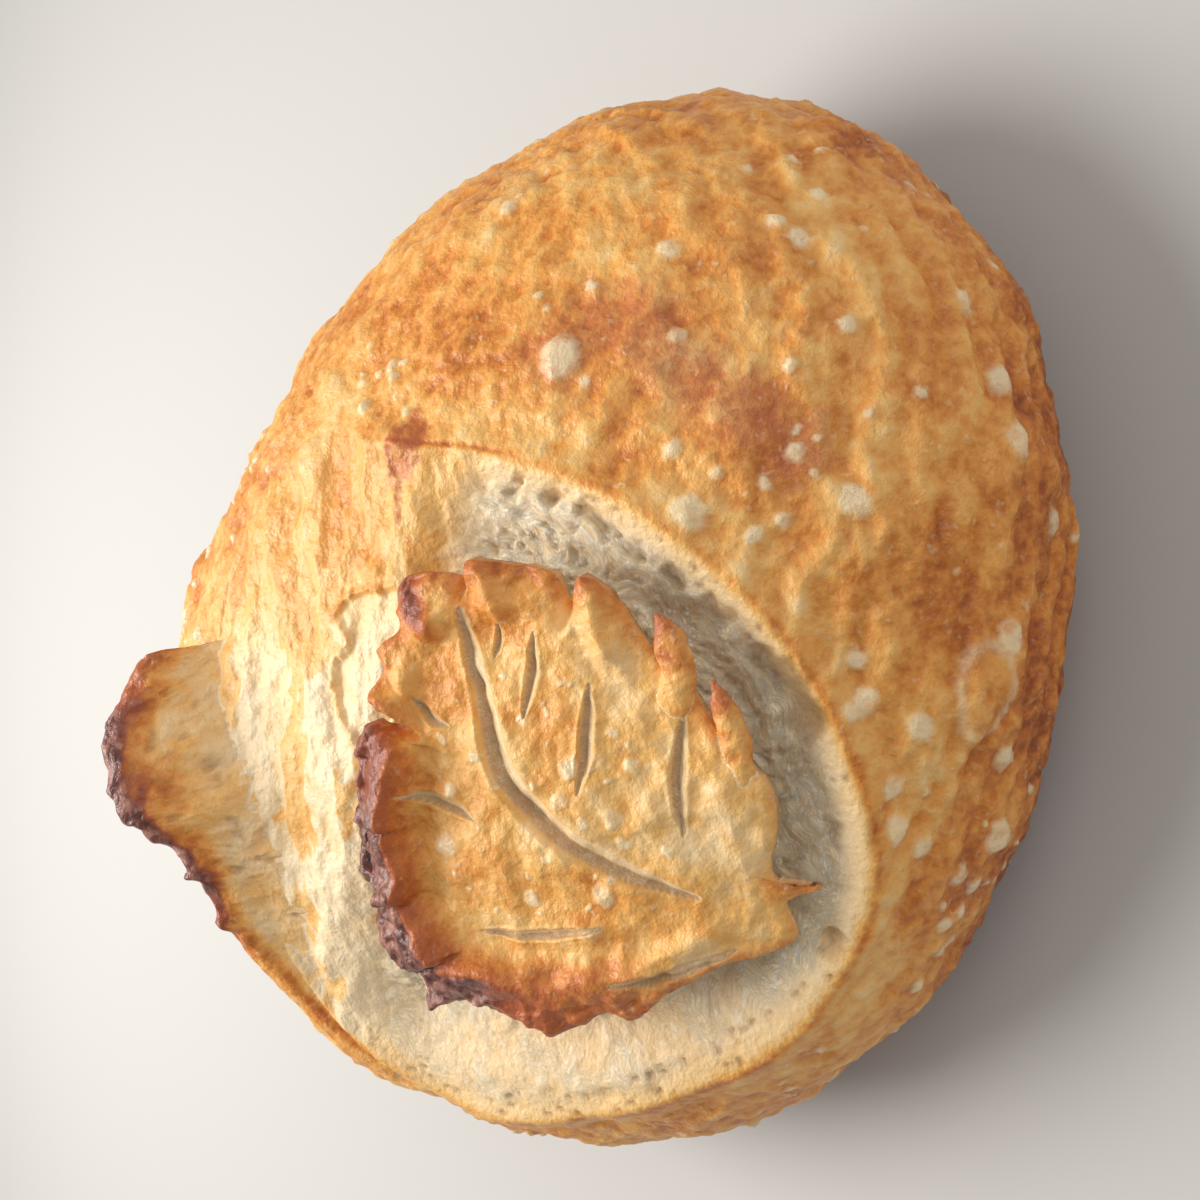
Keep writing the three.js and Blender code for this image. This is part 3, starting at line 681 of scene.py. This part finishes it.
def dough_surface():
    """The dough body's mesh: points, faces and the masks that its material reads."""
    directions, faces = crowded_ball()
    plain = body_point(directions)
    at = dough_site(plain)
    height, stem_under = hollow_relief(at)
    crust = crust_surface(at)
    opened = opened_surface(at)
    height += crust.height * (1 - at.inside) + opened.height * at.inside * (1 - 0.8 * stem_under)
    points = plain + at.normal * (height * (plain[:, 2] > 0))[:, None]
    points[:, 2] = np.maximum(points[:, 2], 0)

    patch = layered(plain * (1, 1, 1.7), 30.0, 51, 3)
    grain = layered(plain * (1, 1, 1.4), 5.5, 61, 3)
    rosy, nub = rosy_marks(at, grain)
    bake = crust_bake_and_shade(at, crust, patch, grain) + 0.2 * nub
    in_from_rim = at.depth_in + 0.35 * noise(at.chart, 5.0, 91)
    tint_in = at.facing * smooth(in_from_rim, mix(-0.8, -2.5, 1 - at.sharp_rim), 1.0)
    crumb = at.inside * at.crumb_share * smooth(at.depth_in + 0.7 * noise(at.chart, 3.0, 92), 2.5, 6.5)
    crumb *= 1 - at.left_side * mix(0.5, 0.85, smooth(noise(at.chart, 9.0, 93), -0.3, 0.3))
    masks = {
        "bake": mix(bake, pale_bake_and_shade(at, opened, patch), tint_in),
        "crumb": crumb,
        # Painted shade in the crumb's pits, pockets and pinholes and at the ear's foot
        "pore_shade": np.clip(at.inside * opened.pore_shade, 0, 1),
        "web": opened.strand * at.inside * at.crumb_share * mix(1, 0.5, at.left_side),
        "blister": np.clip(crust.blister, 0, 1) * (1 - at.inside) * smooth(-at.depth_in, 1, 4),
        "rosy": np.clip(rosy, 0, 1) * (1 - tint_in * smooth(-at.u, -50, -44)),
        "char": np.zeros(len(plain)),
        "flow": opened.flow,
    }
    return points, faces, masks


def loft_faces(rings, count):
    """Quads between closed rings of count points each, and fans over both ends."""
    ring = np.arange(rings - 1)[:, None] * count
    a = ring + np.arange(count)
    b = ring + (np.arange(count) + 1) % count
    quads = np.stack([a, b, b + count, a + count], -1).reshape(-1, 4)
    first = rings * count
    i = np.arange(count)
    j = (i + 1) % count
    start = np.stack([np.full(count, first), j, i], -1)
    last = (rings - 1) * count
    end = np.stack([np.full(count, first + 1), last + i, last + j], -1)
    return np.concatenate([quads[:, [0, 1, 2]], quads[:, [0, 2, 3]], start, end])


def closed_loft(points, masks, rings, count):
    """A loft's points, faces and masks, with the middles of both end rings added."""
    def with_ends(values):
        return np.concatenate([values, [values[:count].mean(0), values[-count:].mean(0)]])

    masks = {name: with_ends(values) for name, values in masks.items()}
    return with_ends(points), loft_faces(rings, count), masks


def vein_cuts(u, v):
    """The scored veins at chart points: depth, shaded wall, lit wall, lips beside them and flow."""
    cut, shaded, lit, lip = (np.zeros(len(u)) for _ in range(4))
    flow = flat(u, v)
    for path, half_width, depth in VEINS:
        line = spline(path, 12, closed=False)
        distance, along, _, side = nearest_on(line, u, v, closed=False)
        total = np.linalg.norm(np.diff(line, axis=0), axis=1).sum()
        full = np.sin(math.pi * (0.04 + 0.92 * np.clip(along / total, 0, 1))) ** 0.7
        share = side * distance / (half_width * full)
        steep = smooth(share, -1.5, -0.3)
        gentle = 1 - (np.clip(share + 0.3, 0, 1.5) / 1.5) ** 0.9
        section = np.where(share < -0.3, steep, gentle)
        cut = np.maximum(cut, depth * full * section)
        within = smooth(1.15 - np.abs(share), 0, 0.25)
        shaded = np.maximum(shaded, within * (1 - smooth(share, -0.4, 0.05)))
        lit = np.maximum(lit, within * smooth(share, -0.25, 0.15))
        lip = np.maximum(lip, bell(np.abs(share) - 1.5, 0.45) * full * min(half_width, 1.6) / 1.6)
        flow = np.where((within > 0)[:, None], flat(along, side * distance), flow)
    return cut, shaded, lit, lip, flow


def leaf_lift(share, curl, crest_at):
    width = np.where(share < crest_at, CURL_WIDTH_IN, CURL_WIDTH_OUT)
    return LEAF_BELLY * (1 - 0.55 * share ** 2) + curl * bell(share - crest_at, width)


def leaf_grid():
    """The leaf's points, ring by ring from the middle over the edge and back under it."""
    upper = np.concatenate([np.linspace(0.02, 0.7, 105), np.linspace(0.706, 1, 42)])
    lower = np.concatenate([np.linspace(1, 0.9, 6), np.linspace(0.86, 0.4, 8)])
    shares = np.concatenate([upper, lower])
    is_lower = np.arange(len(shares)) >= len(upper)
    count = len(LEAF_EDGE)
    window = bell(np.arange(-40, 41), 15.0)
    padded = np.concatenate([LEAF_EDGE[-40:], LEAF_EDGE, LEAF_EDGE[:40]])
    soft_edge = np.stack([np.convolve(column, window / window.sum(), "valid") for column in padded.T], 1)
    outward = np.clip((shares - SOFT_SHARE) / (1 - SOFT_SHARE), 0, 1)[:, None, None]
    inner_share = np.minimum(shares, SOFT_SHARE)[:, None, None]
    soft_ring = LEAF_CENTRE + inner_share * (soft_edge[None, :, :2] - LEAF_CENTRE)
    u, v = mix(soft_ring, LEAF_EDGE[None, :, :2], outward).reshape(-1, 2).T
    marks = mix(soft_edge[None, :, 2:], LEAF_EDGE[None, :, 2:], smooth(outward, 0, 0.6))
    curl, singe = marks.reshape(-1, 2).T
    return SimpleNamespace(
        u=u, v=v, chart=flat(u, v), curl=curl, singe=singe, share=np.repeat(shares, count),
        under=np.repeat(is_lower, count), rings=len(shares), count=count)


def leaf_spots(chart):
    """Small blisters of the leaf, the first of them large and at their places."""
    spots = RANDOM.uniform(-1, 1, (SPOT_COUNT, 2)) * 46
    radii = 0.6 + RANDOM.exponential(0.4, SPOT_COUNT).clip(0, 2.0)
    for k, (u, v, radius) in enumerate(NAMED_SPOTS):
        spots[k] = u, v
        radii[k] = radius
    return scatter(chart, flat(*spots.T), radii, 0.12 + 0.16 * radii)


def add_cracks(relief, at):
    """Cut the cracks between the crest's lobes, and raise each lobe over its neighbour beside them."""
    for line in CREST_CRACKS:
        away, side = near_path(line, at.u + 0.9 * noise(at.chart, 3.4, 116), at.v)
        overlap = 2.4 * np.exp(-away / 5.0) * smooth(side * away, -0.3, 0.3)
        relief += smooth(at.share, 0.64, 0.78) * (overlap - 1.5 * bell(away, 0.9))


def tooth_marks(u, v):
    """How far each leaf point lies on a rolled tooth, and in a notch between two."""
    roll, notch = np.zeros(len(u)), np.zeros(len(u))
    for lines, mark, width in ((TOOTH_ROLLS, roll, 2.3), (TOOTH_NOTCHES, notch, 0.8)):
        for line in lines:
            np.maximum(mark, bell(near_path(line, u, v)[0], width), out=mark)
    return roll, notch


def leaf_surface():
    """The leaf flap: finely ringed upper face, thick curled edge and plain underside."""
    at = leaf_grid()
    u, v, chart, singe, share, under = at.u, at.v, at.chart, at.singe, at.share, at.under
    cut, shaded, lit, lip, flow = vein_cuts(u, v)
    thickness = mix(LEAF_THICKNESS, EDGE_THICKNESS, smooth(share, 0.7, 1))
    ragged = smooth(share, 0.8, 0.95)
    lumps = 0.85 * layered(chart, 10.0, 101, 2) + 0.3 * layered(chart, 4.2, 103, 2)
    crag = layered(chart, 5.2, 105, 3)
    spot_height, spot = leaf_spots(chart)
    edge_away = nearest_on(LEAF_EDGE, u, v)[0]
    near_edge = smooth(-edge_away, -4.5, -0.6)
    crest_share = share + 0.014 * layered(chart, 7.0, 107, 2)
    lobes = sum(bell(u - middle, 6.5) for middle in CREST_LOBES) * smooth(v, 10, 20)
    crest_at = mix(CURL_AT, SINGED_CURL_AT, smooth(singe, 0.62, 0.9)) - 0.03 * (lobes - 0.5) * (v > 10)
    flat_part = 1 - smooth(share, 0.56, 0.68)
    relief = lumps + 0.4 * lip + spot_height * flat_part * (cut < 0.2)
    relief += singe * ragged * (0.9 * crag - 0.6 * np.abs(noise(chart, 8.0, 109)) / 0.3)
    relief += (0.3 + 0.7 * singe) * 0.8 * bell(edge_away - 1.5, 1.3) * ragged
    scorched = smooth(singe, 0.66, 0.86)
    char = smooth(singe, 0.82, 0.93) * smooth(crest_share, crest_at - 0.012, crest_at + 0.024)
    char = char * mix(1, 0.6, smooth(u, -7, -1))
    pitted = np.clip(noise(chart, 2.6, 113) + 0.4 * noise(chart, 1.4, 114) - 0.1, 0, 1)
    relief += char * (0.35 * layered(chart, 6.0, 115, 2) - 0.8 * pitted)
    add_cracks(relief, at)
    roll, notch = tooth_marks(u, v)
    relief += 1.5 * roll - 1.1 * notch
    lift = leaf_lift(crest_share, at.curl, crest_at) + np.where(under, -thickness, relief - cut)
    points = on_body(u, v, lift)
    shake = np.stack([layered(points, 4.5, 111 + 5 * k, 2) for k in range(3)], 1)
    points += shake * ((0.15 + 0.5 * singe) * ragged)[:, None]

    patch = layered(chart, 13.0, 121, 3)
    bake = 0.29 + 0.12 * patch + 0.03 * layered(chart, 4.0, 123, 2)
    bake += 0.12 * smooth(v + 0.3 * u, -8, 30) + 0.05 * smooth(-u, 5, 40) - 0.05 * lip
    front = smooth(crest_share, crest_at - 0.13, crest_at)
    bake += 0.3 * front * scorched + 0.24 * near_edge * singe * (1 - scorched)
    bake += 0.07 * smooth(-edge_away, -1.8, -0.2) + 0.04 * roll * near_edge
    groove = np.where(under, 0, np.maximum(shaded, lit))
    # Painted shade in the notches between the rolled teeth
    notch_shade = np.where(under, 0, notch * (1 - smooth(edge_away, 3, 7)))
    masks = {
        "bake": np.where(under, mix(0.3, 0.55, singe), mix(bake, 0.22, groove)),
        "crumb": np.where(under, 0.6 * (1 - singe), 0.4 * groove),
        # Painted shade on the veins' shaded walls, in the notches and over the whole underside
        "pore_shade": np.where(under, 0.2, np.maximum(0.9 * shaded, 0.2 * notch_shade)),
        # Painted highlight on the veins' lit walls
        "web": np.where(under, 0, 0.14 * lit),
        "blister": np.where(under, 0, np.clip(0.7 * spot, 0, 1) * flat_part * (1 - groove)),
        "rosy": singe * mix(near_edge, front, scorched) * (1 - 0.6 * char) * (1 - groove),
        "char": char,
        "flow": flow,
    }
    return closed_loft(points, masks, at.rings, at.count)


def tooth_surface(path):
    """A free tooth of the leaf's edge: a flattened roll that rises out of the leaf to its tip."""
    line = spline(path, 14, closed=False)
    centre = on_body(line[:, 0], line[:, 1], line[:, 2])
    run = unit(np.gradient(centre, axis=0))
    side = unit(np.cross(LEAF_NORMAL, run))
    up = np.cross(run, side)
    count = 44
    turn = np.linspace(0, 2 * math.pi, count, endpoint=False)[None, :, None]
    spoke = side[:, None] * np.cos(turn) + up[:, None] * 0.6 * np.sin(turn)
    points = (centre[:, None] + spoke * line[:, None, 3:]).reshape(-1, 3)
    slim = np.repeat(np.minimum(line[:, 3] / 2, 1), count)
    bumps = 0.5 * layered(points, 5.0, 181, 3) * slim
    points += spoke.reshape(-1, 3) * bumps[:, None]
    far = np.repeat(np.linspace(0, 1, len(line)), count)
    patch = layered(points, 7.0, 183, 3)
    masks = {
        "bake": 0.34 + 0.26 * smooth(far + 0.1 * patch, 0.4, 0.85) + 0.08 * patch,
        "rosy": smooth(far + 0.15 * patch, 0.4, 0.8),
    }
    for name in ("crumb", "pore_shade", "web", "blister", "char"):
        masks[name] = 0 * far
    masks["flow"] = points.copy()
    return closed_loft(points, masks, len(line), count)


def ear_wall():
    """The ear's smooth wall, ring by ring along its foot, with each point's turn, rise and place along."""
    line = spline(EAR_STATIONS, 16, closed=False)
    foot = on_body(line[:, 0], line[:, 1])
    run = np.gradient(foot, axis=0)
    run[:, 2] = 0
    run = unit(run)
    outward = np.stack([run[:, 1], -run[:, 0], 0 * run[:, 0]], 1)
    up = np.array([0, 0, math.cos(EAR_LEAN)]) + outward * math.sin(EAR_LEAN)
    travelled = np.concatenate([[0], np.cumsum(np.linalg.norm(np.diff(foot, axis=0), axis=1))])
    row = flat(travelled, 0 * travelled)
    saw = 1.1 * noise(row, 10.0, 141) + 0.15 * noise(row, 3.6, 142)
    spurs = sum(tall * bell(line[:, 0] - u, 1.1) for u, tall in EAR_SPURS)
    h = line[:, 2] + (saw * smooth(line[:, 2], 3, 14) + spurs)
    end = np.sqrt(np.clip(1 - (1 - np.clip(travelled / 3.0, 0, 1)) ** 2, 0.04, 1))
    lip = np.minimum(EAR_LIP_THICKNESS, 2.5 + 0.25 * h) * end
    thick = np.minimum(EAR_FOOT_THICKNESS, 4 + 0.35 * h) * end

    def place(out, rise):
        out, rise = (np.broadcast_to(reach, h.shape)[:, None] for reach in (out, rise))
        return foot + outward * out + up * rise

    section = np.stack([
        place(-5, -EAR_ROOT), place(-2.4, 0.02 * h), place(-0.8, 0.24 * h), place(-0.2, 0.6 * h),
        place(0, 0.86 * h), place(0.3 * lip, h), place(0.8 * lip, 0.99 * h), place(lip, 0.9 * h),
        place(0.55 * (lip + thick), 0.55 * h), place(0.95 * thick, 0.22 * h),
        place(1.35 * thick, -0.55 * EAR_ROOT), place(1.3 * thick, -1.7 * EAR_ROOT),
    ])
    around = spline(section, 6)
    count = len(around)
    points = np.swapaxes(around, 0, 1).reshape(-1, 3)
    rise = ((points - np.repeat(foot, count, 0)) * np.repeat(up, count, 0)).sum(1)
    return SimpleNamespace(
        points=points, rings=len(line), count=count, turn=np.tile(np.arange(count) / 6, len(line)),
        tall=np.repeat(h, count), rise=rise, along=np.repeat(travelled, count),
        out=np.repeat(outward, count, 0), u=np.repeat(line[:, 0], count))


def ear_surface():
    """The ear: a leaning wall with a webbed inner face and a thick singed lip."""
    wall = ear_wall()
    s = wall.along
    height = np.clip(wall.rise / wall.tall, -0.5, 1.1)
    inner = 1 - smooth(wall.turn, 4.4, 5.2)
    top = smooth(wall.turn, 3.7, 4.6) * (1 - smooth(wall.turn, 7.3, 8.2))
    sheet = flat(s, wall.rise)
    bent = sheet + 1.3 * flat(noise(sheet, 7.0, 151), noise(sheet, 7.0, 152))
    big = smooth(wall.tall, 5, 14)
    strand = bell(noise(bent, (2.6, 9.0, 1), 153), 0.12)
    strand = np.maximum(strand, bell(noise(bent, (3.4, 4.0, 1), 154), 0.08))
    pits = smooth(noise(bent, (3.6, 5.5, 1), 155) + 0.3 * noise(bent, 2.0, 156), 0.42, 0.8)
    inner_height = 1.1 * layered(bent, (7.0, 14.0, 1), 157, 3) + 0.35 * strand - 0.9 * pits
    inner_height *= inner * (1 - top) * big
    shake = np.stack([layered(wall.points, 7.0, 161 + 5 * k, 3) for k in range(3)], 1)
    points = wall.points - wall.out * inner_height[:, None] + shake * (0.2 + 0.55 * top * big)[:, None]
    ripple = layered(points, 8.0, 171, 3)
    burnt = smooth(wall.tall, 9, 18)
    char = smooth(height + 0.09 * ripple, 0.76, 0.95) * burnt * mix(0.3, 0.9, smooth(s, 7, 16))
    spur_at = np.abs(wall.u - EAR_SPURS[0][0])
    char = np.maximum(char, smooth(-spur_at, -2.4, -0.8) * smooth(height, 0.6, 0.9))
    outside = 0.34 + 0.1 * ripple + 0.26 * smooth(height, 0.4, 1) * mix(0.3, 1, big)
    bake = 0.23 + 0.3 * smooth(height + 0.08 * ripple, 0.42, 0.78) + 0.08 * ripple
    bake += 0.22 * (1 - smooth(s, 0, 6)) * smooth(height, 0.1, 0.4)
    masks = {
        "bake": mix(outside, bake + 0.04 * (1 - big), inner),
        "crumb": 0.1 * inner * (1 - smooth(height, 0.15, 0.4)) * big,
        # Painted shade in the pits of the ear's inner face
        "pore_shade": np.clip(0.5 * pits * inner * big * (1 - top), 0, 1),
        "web": 0.16 * strand * inner * (1 - top) * big * (1 - smooth(height, 0.4, 0.8)),
        "blister": 0 * s,
        "rosy": 0.12 * smooth(height, 0.5, 0.8) * (1 - char),
        "char": char,
        "flow": sheet[:, [1, 0, 2]],
    }
    return closed_loft(points, masks, wall.rings, wall.count)


def add_object(name, data):
    obj = bpy.data.objects.new(name, data)
    bpy.context.scene.collection.objects.link(obj)
    return obj


def make_object(name, points, faces, masks):
    """A mesh object of triangles, in millimetres, with its masks as point attributes."""
    a, b, c = (points[faces[:, k]] for k in range(3))
    if np.einsum("ij,ij->i", a, np.cross(b, c)).sum() < 0:
        faces = faces[:, ::-1]
    mesh = bpy.data.meshes.new(name)
    mesh.vertices.add(len(points))
    mesh.vertices.foreach_set("co", points.ravel())
    mesh.loops.add(faces.size)
    mesh.loops.foreach_set("vertex_index", np.ascontiguousarray(faces, np.int32).ravel())
    mesh.polygons.add(len(faces))
    mesh.polygons.foreach_set("loop_start", np.arange(0, faces.size, 3, dtype=np.int32))
    mesh.update(calc_edges=True)
    mesh.validate()
    for mask, values in masks.items():
        kind, field = ("FLOAT", "value") if values.ndim == 1 else ("FLOAT_VECTOR", "vector")
        mesh.attributes.new(mask, kind, "POINT").data.foreach_set(field, values.astype(np.float32).ravel())
    return add_object(name, mesh)


def join_solid(whole, part):
    """Fuse part into whole and remove part."""
    modifier = whole.modifiers.new("fuse", "BOOLEAN")
    modifier.operation = "UNION"
    modifier.solver = "MANIFOLD"
    modifier.object = part
    depsgraph = bpy.context.evaluated_depsgraph_get()
    fused = bpy.data.meshes.new_from_object(whole.evaluated_get(depsgraph))
    whole.modifiers.clear()
    old = whole.data
    whole.data = fused
    bpy.data.meshes.remove(old)
    bpy.data.objects.remove(part)


def colour(red, green, blue):
    """A colour given as 0 to 255, as the screen shows it, in linear light."""
    parts = [c / 255 for c in (red, green, blue)]
    return tuple(c / 12.92 if c <= 0.04045 else ((c + 0.055) / 1.055) ** 2.4 for c in parts) + (1.0,)


# The one material of the loaf, and short calls that add shader nodes to it
BREAD = bpy.data.materials.new("baked_bread")
BREAD.use_nodes = True
BREAD.node_tree.nodes.clear()


def feed(made, key, value):
    """Link a node's input to another node's output, or set it to a value."""
    if isinstance(value, bpy.types.NodeSocket):
        BREAD.node_tree.links.new(value, made.inputs[key])
    else:
        made.inputs[key].default_value = value


def node(kind, inputs, **settings):
    made = BREAD.node_tree.nodes.new(kind)
    for key, value in settings.items():
        setattr(made, key, value)
    for key, value in inputs.items():
        feed(made, key, value)
    return made


def mask(name, output="Fac"):
    return node("ShaderNodeAttribute", {}, attribute_name=name).outputs[output]


def maths(operation, a, b=0.0, c=0.0, clamp=False):
    return node("ShaderNodeMath", {0: a, 1: b, 2: c}, operation=operation, use_clamp=clamp).outputs[0]


def times(a, b, plus=None):
    return maths("MULTIPLY", a, b) if plus is None else maths("MULTIPLY_ADD", a, b, plus)


def stretch(vector, scale):
    return node("ShaderNodeVectorMath", {0: vector, 1: scale}, operation="MULTIPLY").outputs[0]


def fit(value, low, high):
    """0 to 1 as the value goes from low to high."""
    return node("ShaderNodeMapRange", {0: value, 1: low, 2: high, 3: 0.0, 4: 1.0}, clamp=True).outputs[0]


def grain(vector, scale, detail=3.0, roughness=0.55, distortion=0.0):
    inputs = {"Vector": vector, "Scale": scale, "Detail": detail, "Roughness": roughness}
    inputs["Distortion"] = distortion
    return node("ShaderNodeTexNoise", inputs).outputs[0]


def ramp(share, stops):
    made = node("ShaderNodeValToRGB", {"Fac": share})
    elements = made.color_ramp.elements
    while len(elements) < len(stops):
        elements.new(0.5)
    for element, (position, screen_colour) in zip(elements, stops):
        element.position = position
        element.color = colour(*screen_colour)
    return made.outputs[0]


def blend(share, under, over):
    made = node("ShaderNodeMix", {"Factor": share}, data_type="RGBA", blend_type="MIX")
    feed(made, 6, under)
    feed(made, 7, over)
    return made.outputs[2]


def surface_marks():
    """The masks of the mesh, and the grain and threads that the colours and the fine bumps share."""
    place = node("ShaderNodeTexCoord", {}).outputs["Object"]
    flow = mask("flow", "Vector")
    names = ("bake", "crumb", "pore_shade", "web", "blister", "rosy", "char")
    at = SimpleNamespace(**{name: mask(name) for name in names})
    at.broad = grain(place, 60.0, 1.0)
    at.medium = grain(place, 240.0)
    at.fine = grain(place, 1300.0, 2.0)
    at.pebble = grain(place, 520.0)
    at.fibre = grain(stretch(flow, (0.4, 1.15, 1.0)), 1.0, 4.0, 0.6, 1.25)
    crossing = grain(stretch(flow, (0.62, 0.5, 1.0)), 1.0, 2.0, 0.6, 0.8)
    thread = maths("ABSOLUTE", maths("SUBTRACT", at.fibre, 0.5))
    cross_thread = maths("ABSOLUTE", maths("SUBTRACT", crossing, 0.5))
    threads = maths("MAXIMUM", fit(thread, 0.045, 0.0), fit(cross_thread, 0.028, 0.0))
    at.threads = times(threads, at.crumb)
    at.blisters = times(fit(at.blister, 0.02, 0.6), fit(at.medium, 0.2, 0.5))
    speck = times(fit(grain(place, 620.0, 1.0), 0.6, 0.74), fit(at.medium, 0.42, 0.6))
    plain_crust = maths("SUBTRACT", 1.0, maths("ADD", at.crumb, at.char), clamp=True)
    at.specks = times(speck, times(plain_crust, fit(at.bake, 0.22, 0.36)))
    return at


def crust_and_crumb(at):
    """Crust from pale to dark brown, reddish in places, with pale blisters and partly painted shade in its
    pebble pits, and the crumb.
    """
    shade = times(at.medium, 0.16, maths("ADD", at.bake, -0.08))
    shade = times(at.bake, -0.09, shade)
    # Darker orange in the pits of the pebble bumps: partly the crust's own mottle, partly painted shade
    shade = times(fit(at.pebble, 0.62, 0.36), times(at.bake, 0.22), shade)
    shade = times(at.broad, 0.1, maths("ADD", shade, -0.05))
    crumb_colour = ramp(times(at.fibre, 0.5, times(at.medium, 0.5)), CRUMB_COLOURS)
    skin = blend(at.crumb, ramp(shade, CRUST_COLOURS), crumb_colour)
    patchy_rosy = times(at.rosy, fit(at.pebble, 0.62, 0.4))
    skin = blend(times(patchy_rosy, 0.3, times(at.rosy, 0.5)), skin, colour(*ROSY_COLOUR))
    skin = blend(times(at.blisters, 0.74), skin, colour(*BLISTER_COLOUR))
    return blend(times(at.specks, 0.32), skin, colour(*SPECK_COLOUR))


def skin_colour(at):
    """The colours of crust and crumb, with painted shade in pores and grooves, white threads with a painted
    highlight on lit vein walls, and burnt edges.
    """
    # Painted shade in pores, pockets and grooves
    skin = blend(times(at.pore_shade, 0.7), crust_and_crumb(at), colour(*PORE_SHADE_COLOUR))
    # White threads of the crumb, and a painted highlight on the veins' lit walls
    white = maths("MAXIMUM", times(at.web, fit(at.fibre, 0.34, 0.56)), at.threads)
    skin = blend(times(white, 0.85), skin, colour(*THREAD_AND_HIGHLIGHT_COLOUR))
    skin = blend(fit(at.char, 0.02, 0.4), skin, colour(*SINGED_COLOUR))
    charred = times(at.medium, 0.4, maths("ADD", at.char, -0.2))
    char_colour = ramp(times(at.pebble, 0.3, times(at.medium, 0.7)), CHAR_COLOURS)
    return blend(fit(charred, 0.4, 0.75), skin, char_colour)


def bread_material():
    """Crust, crumb, blisters and singed edges from the masks, with fine grain from noise."""
    at = surface_marks()
    rough = times(at.crumb, 0.3, 0.34)
    rough = times(at.blisters, -0.14, rough)
    rough = times(at.char, -0.06, rough)
    rough = times(at.medium, 0.2, rough)
    bumps = times(at.pebble, maths("SUBTRACT", 1.0, at.crumb, clamp=True))
    bumps = times(at.fine, 0.12, bumps)
    bumps = times(at.specks, 0.15, bumps)
    bumps = times(times(at.fibre, at.crumb), 0.3, bumps)
    bumps = times(at.threads, 0.25, bumps)
    bump = node("ShaderNodeBump", {"Height": bumps, "Strength": 0.7, "Distance": 0.001})
    shader = node("ShaderNodeBsdfPrincipled", {
        "Base Color": skin_colour(at), "Roughness": rough, "Normal": bump.outputs[0],
        "Specular IOR Level": 0.42,
    })
    node("ShaderNodeOutputMaterial", {"Surface": shader.outputs[0]})
    return BREAD


def build_loaf():
    loaf = make_object("sourdough_crust", *dough_surface())
    join_solid(loaf, make_object("leaf", *leaf_surface()))
    for tooth in FREE_TEETH:
        join_solid(loaf, make_object("tooth", *tooth_surface(tooth)))
    join_solid(loaf, make_object("ear", *ear_surface()))
    mesh = loaf.data
    co = np.empty(len(mesh.vertices) * 3)
    mesh.vertices.foreach_get("co", co)
    mesh.vertices.foreach_set("co", co * MM)
    mesh.polygons.foreach_set("use_smooth", np.ones(len(mesh.polygons), bool))
    mesh.update()
    mesh.materials.clear()
    mesh.materials.append(bread_material())
    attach(loaf, "root")
    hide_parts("loaf")


# The camera of the photograph: close over the front, and turned a quarter so that up points left
CAMERA_PLACE = (0.01114, -0.22203, 0.24276)
CAMERA_TILT = math.radians(44)
IMAGE_PIXELS = 1200
FOCAL_PIXELS = 1201
SENSOR_WIDTH = 36.0

# The floor lies a hair under the loaf's flat base, in metres
FLOOR_HALF = 2.0
FLOOR_GAP = 0.0002
# Lights: place, place lit and size across in metres, power in watts and tint
KEY_LIGHT = ((-0.06, 0.5, 0.75), (0, 0, 0.06), 0.6, 8.9, (1.0, 0.98, 0.94))
FILL_LIGHT = ((0.5, -0.55, 0.6), (0, 0, 0.05), 0.7, 2.0, (1.0, 0.98, 0.95))
SURROUND_COLOUR, SURROUND_STRENGTH = (1.0, 0.98, 0.95, 1.0), 0.35


def place_camera():
    """The matrix holds the camera's right, up and back: the image's up is the loaf's right."""
    forward = Vector((0, math.cos(CAMERA_TILT), -math.sin(CAMERA_TILT)))
    right = Vector((1, 0, 0))
    up = right.cross(forward)
    camera = add_object("camera", bpy.data.cameras.new("camera"))
    camera.data.sensor_width = SENSOR_WIDTH
    camera.data.lens = SENSOR_WIDTH * FOCAL_PIXELS / IMAGE_PIXELS
    camera.data.clip_start = 0.01
    camera.matrix_world = Matrix((
        (-up.x, right.x, -forward.x, CAMERA_PLACE[0]),
        (-up.y, right.y, -forward.y, CAMERA_PLACE[1]),
        (-up.z, right.z, -forward.z, CAMERA_PLACE[2]),
        (0, 0, 0, 1),
    ))
    bpy.context.scene.camera = camera


def area_light(name, place, target, size, power, tint):
    light = bpy.data.lights.new(name, "AREA")
    light.shape = "DISK"
    light.size = size
    light.energy = power
    light.color = tint
    obj = add_object(name, light)
    obj.location = place
    obj.rotation_euler = (Vector(target) - Vector(place)).to_track_quat("-Z", "Y").to_euler()


def build_studio():
    """A plain pale floor, a large soft light from behind and a weaker one from the front."""
    mesh = bpy.data.meshes.new("floor")
    corners = [(x * FLOOR_HALF, y * FLOOR_HALF, 0) for x, y in ((-1, -1), (1, -1), (1, 1), (-1, 1))]
    mesh.from_pydata(corners, [], [(0, 1, 2, 3)])
    floor = add_object("floor", mesh)
    floor.location.z = -FLOOR_GAP
    material = bpy.data.materials.new("pale_floor")
    material.use_nodes = True
    surface = material.node_tree.nodes["Principled BSDF"]
    surface.inputs["Base Color"].default_value = colour(*FLOOR_COLOUR)
    surface.inputs["Roughness"].default_value = 0.8
    mesh.materials.append(material)
    area_light("key", *KEY_LIGHT)
    area_light("fill", *FILL_LIGHT)
    world = bpy.data.worlds.new("studio")
    world.use_nodes = True
    surround = world.node_tree.nodes["Background"]
    surround.inputs["Color"].default_value = SURROUND_COLOUR
    surround.inputs["Strength"].default_value = SURROUND_STRENGTH
    bpy.context.scene.world = world
    bpy.context.scene.view_settings.view_transform = "Standard"


place_camera()
build_studio()
build_loaf()
